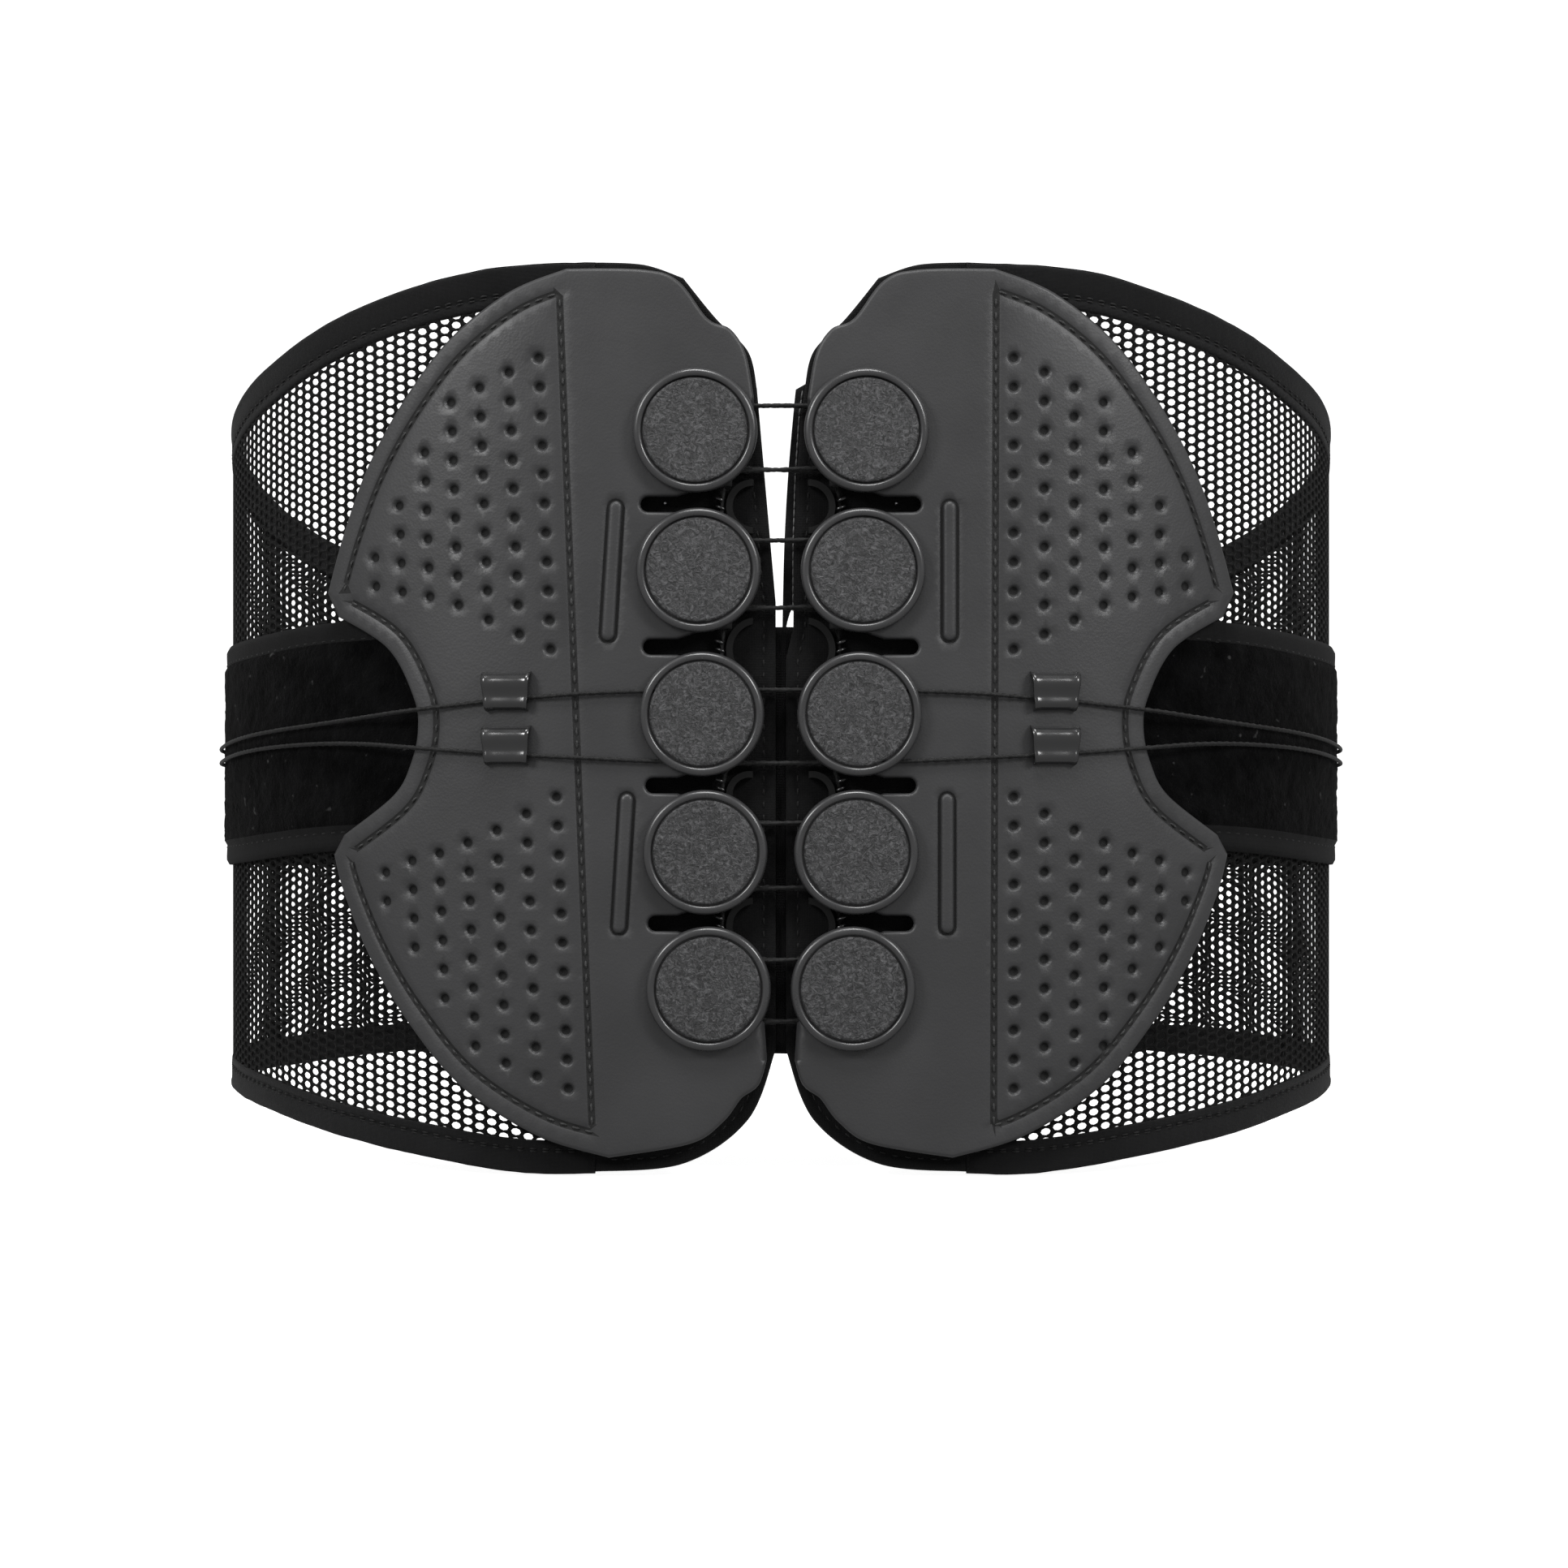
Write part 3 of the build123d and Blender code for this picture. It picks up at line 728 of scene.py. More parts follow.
def slot_bays():
    """The inner edge from foot to head, going into and out of each slot."""
    line = [(4.0, -76.0), (INNER_X, -68.0)]
    half = SLOT_HEIGHT / 2
    for z in reversed(SLOT_Z):
        centre = SLOT_END[0] + SLOT_END[1] * z - half
        line += [(x, z - half - more) for x, more in (SLOT_MOUTH, SLOT_THROAT)] + [(SLOT_NECK, z - half)]
        for k in range(9):
            a = math.radians(-90 + 180 * k / 8)
            line.append((centre + half * math.cos(a), z + half * math.sin(a)))
        line += [(SLOT_NECK, z + half)] + [(x, z + half + more) for x, more in (SLOT_THROAT, SLOT_MOUTH)]
    return line + [(INNER_X, 66.0), (6.6, 72.0)]


def evenly(points, step):
    """The same open line with points no further apart than step."""
    points = np.asarray(points, float)
    out = []
    for a, b in zip(points[:-1], points[1:]):
        count = max(1, int(math.ceil(np.linalg.norm(b - a) / step)))
        out.extend(a + (b - a) * k / count for k in range(count))
    out.append(points[-1])
    return np.array(out)


def joined(*parts, least=0.05):
    """One outline from its parts in turn, without points closer together than the least."""
    outline = np.vstack(parts)
    return outline[np.linalg.norm(outline - np.roll(outline, 1, 0), axis=1) > least]


def wing_outline():
    curves = [smooth_curve(c) for c in (UPPER_CURVE, NOTCH_CURVE, LOWER_CURVE, FOOT_CURVE)]
    outline = joined(*curves, evenly(slot_bays(), 1.2), smooth_curve(HEAD_CURVE))
    return counterclockwise(runs_of(outline))


def side_line(side, z):
    """Run of the straight row of stitches, at height z."""
    top, foot = STITCH_RUN[side]
    return foot + (top - foot) * (z - SEAM_ENDS[1]) / (SEAM_ENDS[0] - SEAM_ENDS[1])


def seam_rows(side, outline):
    """The rows of stitching: round the two curves, along the notch, and one upright."""
    rows = []
    for curve in (UPPER_CURVE, NOTCH_CURVE, LOWER_CURVE):
        line = runs_of(smooth_curve(curve))
        moved = line - normals_of(line, False) * WING_EDGE_INSET
        moved = moved[clearance(moved, outline) > WING_EDGE_INSET - 0.06]
        rows.append(moved[moved[:, 0] > side_line(side, moved[:, 1])])
    heights = np.linspace(-101.6, 104.0, 90)
    rows.append(np.stack([side_line(side, heights), heights], -1))
    return rows


def hole_centres(side):
    centres = []
    (top_run, low_run), (top, foot) = FIRST_COLUMN[side], COLUMN_ENDS
    for columns in (UPPER_COLUMNS, LOWER_COLUMNS):
        for k, (high, count) in enumerate(columns):
            for row in range(count):
                z = high - row * HOLE_PITCH[1]
                first = low_run + (top_run - low_run) * (z - foot) / (top - foot)
                centres.append((first + k * HOLE_PITCH[0], z))
    return np.array(centres)


def nearest(points, centres):
    best = np.full(len(points), 1e9)
    for centre in centres:
        best = np.minimum(best, np.hypot(*(points - centre).T))
    return best


def rib_distance(side, points):
    """How far each point is from the middle line of the nearest rib."""
    best = np.full(len(points), 1e9)
    for x, z, lean in RIBS[side]:
        along_rib = np.clip(points[:, 1] - z, (RIB[1] - RIB[0]) / 2, (RIB[0] - RIB[1]) / 2)
        best = np.minimum(best, np.hypot(points[:, 0] - x + lean * along_rib, points[:, 1] - z - along_rib))
    return best


def moat_rings(side):
    """Points along the moat that the ribs stand in."""
    rings = []
    reach, half = (RIB[0] - RIB[1]) / 2, RIB[1] / 2
    for x, z, lean in RIBS[side]:
        for out in (half - 0.3, half + MOAT[0], half + MOAT[1], half + MOAT[2]):
            ring = []
            for way in (1, -1):
                ring += [
                    (x + way * (out * math.cos(a) - lean * reach), z + way * (reach + out * math.sin(a)))
                    for a in np.linspace(0, np.pi, 9)
                ]
            rings.append(evenly([*ring, ring[0]], 1.2)[:-1])
    return rings


def make_wing(side):
    outline = wing_outline()
    rows = seam_rows(side, outline)
    holes = hole_centres(side)
    rings = []
    for radius, count in ((HOLE_RIM[1], 16), (HOLE_RIM[0], 16), (HOLE_R, 14), (0.8, 10), (0.0, 1)):
        angles = 2 * np.pi * np.arange(count) / count
        ring = np.stack([np.cos(angles), np.sin(angles)], -1) * radius
        rings.append((holes[:, None] + ring).reshape(-1, 2))
    seam_points = []
    for line in rows:
        points, _ = along(line, 1.4)
        normal = normals_of(points, False)
        seam_points += [points + normal * k for k in (-1.25, -SEAM_HALF, -0.4, 0.4, SEAM_HALF, 1.25)]
    seam_points = np.vstack(seam_points)
    seam_points = seam_points[nearest(seam_points, holes) > 2.1]
    seam_points = seam_points[inside(seam_points, outline)]

    def seam_distance(points):
        return np.min([clearance(points, line, False) for line in rows], axis=0)

    def keep_off(points):
        clear_of_ribs = rib_distance(side, points) > RIB[1] / 2 + 1.4
        return (nearest(points, holes) > 2.3) & (seam_distance(points) > 1.7) & clear_of_ribs

    def relief(points, away):
        seam = seam_distance(points)
        groove = -0.38 * np.clip(1.55 - seam / SEAM_HALF, 0, 1)
        puff = 0.22 * (1 - np.exp(-((seam / 5.0) ** 2))) * np.clip(away / 6.0, 0, 1)
        puff *= points[:, 0] > side_line(side, points[:, 1])
        at = nearest(points, holes)
        dish = np.interp(at, (0, 0.8, HOLE_R, *HOLE_RIM), (-1.1, -1.05, -0.75, -0.2, 0))
        moat = np.interp(rib_distance(side, points) - RIB[1] / 2, MOAT, (-0.5, -0.4, 0.0))
        return groove + puff + dish * HOLE_DEPTH + moat

    shell, flat, tris = panel(
        side + "_wing_cover", side, outline, SHELL[0], SHELL[1], WING, pitch=2.0, edge=1.0,
        extra=[seam_points, *rings, *moat_rings(side)], relief=relief, keep_off=keep_off,
    )
    shell.data.materials.append(PERFORATION_AND_BAY_SHADE)
    shell.data.materials.append(GROOVE_PAINTED_SHADE)
    middles = np.array([flat[list(t)].mean(0) for t in tris])
    bay_shade = np.min([np.abs(middles[:, 1] - z) for z in SLOT_Z], axis=0) < BAY_SHADE_HALF
    marks = (
        # faces in the rib moats and along the seam grooves get painted shade
        (2, rib_distance(side, middles) < RIB[1] / 2 + MOAT[1]), (2, seam_distance(middles) < SEAM_HALF),
        # hole bottoms get near-black leather, partly painted shade; the bays beside the slots get painted
        # shadow
        (1, nearest(middles, holes) < HOLE_R), (1, (middles[:, 0] < BAY_SHADE_DEPTH) & bay_shade),
    )
    for mark, chosen in marks:
        for index in np.nonzero(chosen)[0]:
            shell.data.polygons[int(index)].material_index = mark
    finish(shell, side, "back", "wing_leather", side + "_wing_shell")
    thread = stitches(side + "_wing_stitching", side, rows, SHELL[1] - 0.3, WING_THREAD, 2.3, 0.9, 0.3)
    finish(thread, side, "back", "wing_leather", side + "_wing_shell")


# ---------------------------------------------------------------- discs
DISC_SEGMENTS = 96
# a cap's rim, from its inner wall over the crown to its underside: (radius, distance outward)
CAP_PROFILE = (
    (13.25, 6.9), (13.25, 8.45), (13.3, 8.75), (13.5, 9.0), (13.8, 9.16), (14.1, 9.2), (14.45, 9.14),
    (14.8, 8.96), (15.1, 8.66), (15.3, 8.25), (15.35, 7.8), (15.3, 7.1), (15.15, 6.7), (14.8, 6.42),
    (14.3, 6.3), (13.4, 6.25), (12.4, 6.25),
)
INSERT_R = 12.85
INSERT_LAYER = (8.2, 8.97)
GRAINS = 5200


def make_caps(side):
    for row, z in enumerate(ROWS):
        x, number = row_x(z), str(row + 1)
        angles = 2 * np.pi * np.arange(DISC_SEGMENTS) / DISC_SEGMENTS
        verts = [
            (x + radius * math.cos(a), n, z + radius * math.sin(a))
            for radius, n in CAP_PROFILE for a in angles
        ]
        faces = tube_faces(0, len(CAP_PROFILE), DISC_SEGMENTS)
        rim = piece(
            side + "_disc_rim_" + number, place(side, *np.array(verts).T), facing(side, faces), CAP_PLASTIC,
        )
        for end in (-2, -1):
            rim.data.polygons[len(faces) + end].use_smooth = False
        finish(rim, side, "back", "cap_plastic", side + "_cap_" + number)


def make_inserts(side):
    """Cast faces of the discs, their grain raised in the mesh."""
    draw = np.random.default_rng(11 if side == "left" else 12)
    verts, faces = [], []
    golden = math.pi * (3 - math.sqrt(5))
    k = np.arange(GRAINS)
    radius = INSERT_R * np.sqrt((k + 0.5) / GRAINS)
    spread = np.stack([radius * np.cos(k * golden), radius * np.sin(k * golden)], -1)
    angles = 2 * np.pi * np.arange(90) / 90
    rim = np.stack([np.cos(angles), np.sin(angles)], -1) * INSERT_R
    spread = spread[radius < INSERT_R - 0.25]
    flat, tris = triangulate(rim, spread)
    away = INSERT_R - np.hypot(*flat.T)
    crown = INSERT_LAYER[1] - 0.25 * np.clip(1 - away / 0.7, 0, 1) ** 2
    for z in ROWS:
        grain = draw.normal(0, 0.035, len(flat)) * np.clip(away / 0.5, 0, 1)
        top = crown + np.clip(grain, -0.09, 0.09)
        first = len(verts)
        verts += list(place(side, row_x(z) + flat[:, 0], top, z + flat[:, 1]))
        edge = border(tris)
        base = len(verts)
        ring = [a for a, _ in edge]
        index = {a: base + i for i, a in enumerate(ring)}
        verts += list(place(side, row_x(z) + flat[ring, 0], INSERT_LAYER[0], z + flat[ring, 1]))
        faces += [tuple(first + i for i in t) for t in tris]
        faces += [(first + a, index[a], index[b], first + b) for a, b in edge]
        chain, following = [ring[0]], dict(edge)
        while following[chain[-1]] != chain[0]:
            chain.append(following[chain[-1]])
        faces.append(tuple(index[a] for a in reversed(chain)))
    obj = piece(side + "_disc_faces", verts, facing(side, faces), INSERT)
    finish(obj, side, "back", "grained_insert", side + "_cap_inserts")


for side in SIDES:
    make_wing(side)
    make_caps(side)
    make_inserts(side)


# ---------------------------------------------------------------- open mesh
# a cell's width and height, the half axes of the oval hole in it, and the hole's slant
CELL = (3.15, 2.3)
HOLE_HALF = (1.3, 0.88)
HOLE_POINTS = 8
HOLE_SLANT = math.radians(9)
NET_MIDDLE = 0.7
# half thickness of the net where three strands meet, and along a hole
STRAND = (0.4, 0.17)
# how far the net reaches under the bindings' inner edges
TUCK = 3.0
NET_START = 47.0
# the run at which the side pieces end and the front pieces start
BLEND_RUN = 236.0
# where the front panels' nets and bindings end, short of the centre
NET_STOP = {"left": 3.5, "right": 7.5}
BINDING_STOP = {"left": 2.0, "right": 6.0}


def hole_ring():
    """Points round one slanted oval hole, and the cell corner that each is nearest to."""
    ring, corners = [], []
    cosine, sine = math.cos(HOLE_SLANT), math.sin(HOLE_SLANT)
    for k in range(HOLE_POINTS):
        a = 2 * math.pi * k / HOLE_POINTS
        x, z = HOLE_HALF[0] * math.cos(a), HOLE_HALF[1] * math.sin(a)
        ring.append((x * cosine - z * sine, x * sine + z * cosine))
        corners.append(round(k * 6 / HOLE_POINTS + 0.01) % 6)
    return ring, corners


HOLE_RING, HOLE_CORNER = hole_ring()
HIDDEN = counterclockwise(runs_of(np.vstack([
    smooth_curve(((44, 96), (62, 92), (80, 74), (92, 54), (98, 32)), 3.0),
    smooth_curve(((98, -40), (90, -62), (74, -82), (56, -93), (44, -96)), 3.0),
])))


def covered(s, z):
    """Where the cloth lies unseen between the wing and the back pad."""
    return inside(np.array([(s, z)]), HIDDEN)[0]


def net(name, side, start, end):
    """A honeycomb of strands between two edges; every hole goes through."""
    across, up = CELL
    corner_x = (across**2 - up**2 / 4) / (2 * across)
    side_x = across - corner_x
    columns = int((end - start) / across)
    keys, verts, faces = {}, [], []

    def corner(i, j, right):
        """Corner of the cells, owned by column i and half-row j."""
        key = (i, j, right)
        if key not in keys:
            keys[key] = len(verts)
            s = start + i * across + (side_x if right else -side_x)
            verts.extend((s, NET_MIDDLE + n, j * up / 2) for n in (STRAND[0], -STRAND[0]))
        return keys[key]

    for i in range(columns + 1):
        s = start + i * across
        low = level(BOTTOM_EDGE, s) + BOTTOM_BINDING - TUCK
        high = level(TOP_EDGE, s) - TOP_BINDING + TUCK
        for j in range(int(math.ceil(low / up * 2)), int(high / up * 2) + 1):
            if (i + j) % 2 or covered(s, j * up / 2):
                continue
            ring = [
                corner(i, j, True), corner(i + 1, j + 1, False), corner(i - 1, j + 1, True),
                corner(i, j, False), corner(i - 1, j - 1, True), corner(i + 1, j - 1, False),
            ]
            first = len(verts)
            for x, z in HOLE_RING:
                verts.extend((s + x, NET_MIDDLE + n, j * up / 2 + z) for n in (STRAND[1], -STRAND[1]))
            for k in range(HOLE_POINTS):
                c, d = first + 2 * k, first + 2 * ((k + 1) % HOLE_POINTS)
                a, b = ring[HOLE_CORNER[k]], ring[HOLE_CORNER[(k + 1) % HOLE_POINTS]]
                faces += [(a, d, c), (a + 1, c + 1, d + 1), (c, d, d + 1, c + 1)]
                if a != b:
                    faces += [(a, b, d), (b + 1, a + 1, d + 1)]
    return piece(name, place(side, *np.array(verts).T), facing(side, faces), KNIT)


def make_nets(side):
    back = net(side + "_side_net", side, NET_START, BLEND_RUN)
    finish_bending(back, side, "open_mesh", side + "_side_mesh", side + "_front_mesh")
    front = net(side + "_front_net", side, BLEND_RUN + 0.25, FRONT_CENTRE - NET_STOP[side])
    finish(front, side, "front", "open_mesh", side + "_front_mesh")


# ---------------------------------------------------------------- bands
def band(name, side, start, end, section, mat):
    """A band swept round the waist, swaying a little; section(s) gives its closed outline of (n, z)."""
    count = max(2, int((end - start) / 2.5))
    draw = np.random.default_rng(len(name))
    sway = np.cumsum(draw.normal(0, 1, count + 1))
    sway = (sway - np.linspace(sway[0], sway[-1], count + 1)) * 0.05
    rings = [section(s) for s in np.linspace(start, end, count + 1)]
    runs = np.linspace(start, end, count + 1)
    verts = [(s, n, z + shift) for s, ring, shift in zip(runs, rings, sway) for n, z in ring]
    faces = tube_faces(0, count + 1, len(rings[0]))
    return piece(name, place(side, *np.array(verts).T), facing(side, faces), mat)


def edge_section(edge, width, rise):
    """Folded tape: a bead at the free edge, a flat with a sewn channel, an inner lip."""
    inner, outer = BINDING
    middle, half = (inner + outer) / 2, (outer - inner) / 2
    # tenths of the width from the free edge, and the height there in half thicknesses
    profile = (
        (0.0, -0.82), (0.35, -0.98), (1.1, -1.0), (2.2, -0.8), (6.0, -0.78), (6.7, -0.45), (7.4, -0.45),
        (8.1, -0.78), (9.4, -0.72), (10.0, -0.5),
    )
    body = [(across / 10.0 * width, height) for across, height in profile]

    def section(s):
        top = float(level(edge, s))
        fronts = [(middle - half * h, top - rise * d) for d, h in body]
        backs = [(middle + half * h, top - rise * d) for d, h in reversed(body)]
        crest = top + rise * 0.28
        ring = [(middle - half * 0.5, crest), *fronts, *backs, (middle + half * 0.5, crest)]
        return ring if rise > 0 else ring[::-1]

    return section


def make_bindings(side):
    stop = FRONT_CENTRE - BINDING_STOP[side]
    edges = (("top", TOP_EDGE, TOP_BINDING, 1), ("bottom", BOTTOM_EDGE, BOTTOM_BINDING, -1))
    for part, start, end in (("side", 46.0, BLEND_RUN), ("front", BLEND_RUN, stop)):
        for label, edge, width, rise in edges:
            name = side + "_" + part + "_" + label
            tape = band(name + "_binding", side, start, end, edge_section(edge, width, rise), EDGE)
            runs = np.arange(start + 1, end - 1, 2.0)
            rows = [
                np.stack([runs, level(edge, runs) - rise * width * share], -1) for share in (0.66, 0.74)
            ]
            thread = stitches(name + "_stitching", side, rows, BINDING[1] - 0.5, THREAD, 2.0, 1.2, 0.26)
            for obj in (tape, thread):
                finish_belt_piece(obj, side, part, "edge_binding", "bindings")


# ---------------------------------------------------------------- plush straps
STRAP_EDGE_WIDTH = 5.6
STRAP_START = 84.0
STRAP_END = 345.0


def plush_strip(name, side, start, end, rounded_end):
    """A strap of matted pile between two smooth sewn edges."""
    runs = np.linspace(start, end, int(round((end - start) / 1.3)) + 1)
    across = np.linspace(0, 1, 46)
    draw = np.random.default_rng(21 + len(name))
    tufts = draw.normal(0, 0.11, (len(runs), len(across)))
    tufts += 0.5 * (np.roll(tufts, 1, 0) + np.roll(tufts, 1, 1))
    top, low = level(STRAP_TOP, runs), level(STRAP_BOTTOM, runs)
    if rounded_end:
        left = np.clip((end - runs) / 14.0, 0, 1)
        pinch = 14.0 * (1 - np.sqrt(1 - (1 - left) ** 2))
        top, low = top - pinch, low + pinch
    z = low[:, None] + (top - low)[:, None] * across
    s = np.repeat(runs[:, None], len(across), 1)
    edge = np.minimum(z - low[:, None], top[:, None] - z)
    smooth_edge = edge < STRAP_EDGE_WIDTH
    rim = np.clip(edge / 0.9, 0, 1)
    height = STRAP[1] - 0.55 - 0.7 * (1 - np.sqrt(1 - (1 - rim) ** 2))
    seam = np.exp(-(((edge - STRAP_EDGE_WIDTH + 0.9) / 0.6) ** 2))
    height = np.where(smooth_edge, height - 0.3 * seam, STRAP[1] - 0.12 + np.clip(tufts, -0.3, 0.3))
    verts = np.concatenate([
        np.stack([s, height, z], -1).reshape(-1, 3),
        np.stack([s, np.full_like(s, STRAP[0]) + 0.25 * (1 - rim), z], -1).reshape(-1, 3),
    ])
    obj = piece(name, place(side, *verts.T), facing(side, grid_faces(*s.shape)), STRAP_EDGE)
    obj.data.materials.append(PILE)
    for cell, smooth in enumerate(smooth_edge[:-1, :-1].ravel()):
        obj.data.polygons[2 * cell].material_index = 0 if smooth else 1
    return obj


def make_end_tape(side):
    """The tape that finishes the free end of a front panel."""
    stop = FRONT_CENTRE - NET_STOP[side]
    start = stop - 6.0
    low, high = level(BOTTOM_EDGE, stop) + 2.0, level(TOP_EDGE, stop) - 2.0
    outline = evenly(((start, low), (stop, low), (stop, high), (start, high), (start, low)), 2.0)[:-1]
    tape, _, _ = panel(side + "_front_end_tape", side, outline, 0.0, 1.45, EDGE, pitch=2.0, edge=0.5)
    finish(tape, side, "front", "edge_binding", side + "_front_bindings")


def make_straps(side):
    sewn = STRAP_EDGE_WIDTH - 0.9
    parts = (
        ("side", STRAP_START, BLEND_RUN, 2, False), ("front", BLEND_RUN, STRAP_END, 12, True),
    )
    for part, start, end, short, rounded_end in parts:
        strap = plush_strip(side + "_" + part + "_plush_strap", side, start, end, rounded_end)
        runs = np.arange(start + 2, end - short, 2.0)
        rows = [
            np.stack([runs, level(STRAP_TOP, runs) - sewn], -1),
            np.stack([runs, level(STRAP_BOTTOM, runs) + sewn], -1),
        ]
        name = side + "_" + part + "_strap_stitching"
        thread = stitches(name, side, rows, STRAP[1] - 0.85, THREAD, 2.2, 1.1, 0.24)
        for obj in (strap, thread):
            finish_belt_piece(obj, side, part, "plush_strap", "strap")


# ---------------------------------------------------------------- base panels and what lies under the wings
BASE_EDGE = 45.7
# the inner edges, from the head down; only the right one has an edge tape, with a slit at its foot
INNER_EDGE = {
    "left": ((5.9, 81.0), (1.25, 28.0), (1.25, -83.0)),
    "right": (
        (5.9, 81.0), (4.95, 75.0), (3.95, 59.0), (3.3, 42.0), (3.1, 22.0), (1.25, 14.0), (1.25, -83.0),
    ),
}
TAPE_LAYER = (-0.95, -0.2)
TAPE_INNER = ((3.7, 81.0), (3.1, 75.0), (1.75, 59.0), (0.85, 42.0), (0.45, 25.0), (0.4, 18.0))
TAPE_OUTER = (
    (1.25, 18.0), (1.4, 22.0), (2.3, 25.5), (3.3, 28.5), (3.6, 42.0), (4.2, 59.0), (5.2, 75.0), (6.3, 82.5),
)
# where the light grey piping runs: a painted highlight along the right panel's inner edge
HIGHLIGHT_PIPING_LINE = ((3.0, 26.0), (3.05, 42.0), (3.55, 59.0), (4.6, 75.0), (5.3, 80.0))


def base_outline(side):
    edge = BASE_EDGE + 1
    return counterclockwise(joined(
        smooth_curve(((edge, 112.4), (34, 111.8), (24.2, 108.5))),
        smooth_curve(((24.2, 108.5), (16.1, 98.5), (8.1, 90.3), (5.9, 81.0))),
        evenly(INNER_EDGE[side], 1.5),
        smooth_curve(((1.25, -83.0), (8.1, -100.3), (24.2, -111.2), (edge, -113.2))),
        evenly(((edge, -113.2), (edge, 112.4)), 2.0),
    ))


def make_edge_tape():
    """The narrow tape along the right panel's inner edge, and beside it the piping, whose light grey is a
    painted highlight.
    """
    outline = np.vstack([smooth_curve(TAPE_INNER), smooth_curve(TAPE_OUTER)])
    tape, _, _ = panel("right_edge_tape", "right", outline, *TAPE_LAYER, EDGE, pitch=1.0, edge=0.3)
    line = [evenly(HIGHLIGHT_PIPING_LINE, 1.0)]
    highlight_piping = stitches("right_edge_piping_painted_highlight", "right", line, 0.55, PIPING_PAINTED_HIGHLIGHT, 2.4, -0.3, 0.2, 0.1)
    for obj in (tape, highlight_piping):
        finish(obj, "right", "back", "edge_binding", "right_base_panel")


def make_base(side):
    outline = base_outline(side)
    edge_run = outline[outline[:, 0] < 44.0]

    def bead(points, away):
        """A rolled and sewn margin along the edge that shows."""
        near = clearance(points, edge_run, False)
        roll = np.sqrt(np.clip(1 - ((near - 1.2) / 1.2) ** 2, 0, 1))
        return 0.35 * roll - 0.25 * np.exp(-(((near - 3.0) / 0.5) ** 2)) - 0.35

    rings = [inset(outline, d) for d in (1.6, 2.0, 2.6, 3.0, 3.4)]
    base, _, _ = panel(
        side + "_base_cloth", side, outline, BASE[0], BASE[1], BACKING, pitch=2.6, edge=0.75,
        extra=rings, relief=bead,
    )
    finish(base, side, "back", "backing_fabric", side + "_base_panel")
    line = inset(outline, 3.0)
    line = line[line[:, 0] < 43.0]
    gaps = np.nonzero(np.linalg.norm(np.diff(line, axis=0), axis=1) > 4.0)[0] + 1
    thread = stitches(
        side + "_base_stitching", side, [part for part in np.split(line, gaps) if len(part) > 4],
        BASE[1] - 0.55, THREAD, 2.0, 1.2, 0.22,
    )
    finish(thread, side, "back", "backing_fabric", side + "_base_panel")


FOAM_LOBES = (
    ((44, 107), (72, 92), (90, 71), (102, 48), (107, 31)),
    ((106, -40), (101, -54), (90, -73), (70, -93), (44, -104)),
)


def make_foam(side):
    for label, lobe in zip(("upper", "lower"), FOAM_LOBES):
        curve = smooth_curve(lobe, 1.5)
        inner_x, outer_x = 44, 106
        if label == "upper":
            closing = evenly((curve[-1], (inner_x, 31.0), curve[0]), 2.0)
        else:
            closing = evenly((curve[-1], (inner_x, -40.0), (outer_x, -40.0)), 2.0)
        outline = np.vstack([curve, closing[1:-1]])
        outline = np.stack([run_at(outline[:, 0], STRAP[1]), outline[:, 1]], -1)
        name = side + "_" + label + "_wing_foam"
        foam, _, _ = panel(name, side, outline, *STRAP, LINING, pitch=3.5, edge=0.7)
        finish(foam, side, "back", "pad_lining", side + "_wing_foam")


# ---------------------------------------------------------------- ribs and cord loops
def make_ribs(side):
    """Two raised ribs with round ends; each section is an arch that ends inside the wing."""
    length, width, height = RIB
    reach, half, around, root = length / 2, width / 2, 15, 0.25
    turn = np.linspace(0, np.pi / 2, 8)
    stations = np.concatenate([
        -reach + half * (1 - np.cos(turn)), np.linspace(-reach + half + 1, reach - half - 1, 20),
        reach - half * (1 - np.cos(turn[::-1])),
    ])
    verts, faces = [], []
    for x, z, lean in RIBS[side]:
        first = len(verts)
        for t in stations:
            past = max(abs(t) - (reach - half), 0) / half
            share = math.sqrt(max(1 - past**2, 0.0004))
            for k in range(around):
                a = math.pi * k / (around - 1)
                across = math.copysign(abs(math.cos(a)) ** 0.75, math.cos(a)) * half * share
                up = SHELL[1] - root + (height + root) * math.sin(a) ** 0.7 * share**0.6
                verts.append((x + across - lean * t, up, z + t))
        for face in tube_faces(first, len(stations), around):
            faces.append(tuple(reversed(face)))
    obj = piece(side + "_ribs", place(side, *np.array(verts).T), facing(side, faces), WING)
    finish(obj, side, "back", "wing_leather", side + "_shell_ribs")


LOOP_RUN = (60.6, 72.2)
LOOP_WALL = 0.75
LOOP_Z = (3.6, -9.7)
# outer line of a loop from its upper edge over the lobe and the crease to the lower lip:
# height above the cord, distance outward
LOOP_LINE = (
    (6.9, 6.3), (6.75, 7.3), (6.3, 8.4), (5.5, 9.05), (4.6, 9.3), (3.6, 9.25), (2.6, 8.95), (1.7, 8.7),
    (1.0, 8.62), (0.4, 8.72), (-0.3, 8.85), (-1.0, 8.8), (-1.7, 8.4), (-2.2, 7.6), (-2.4, 6.3),
)


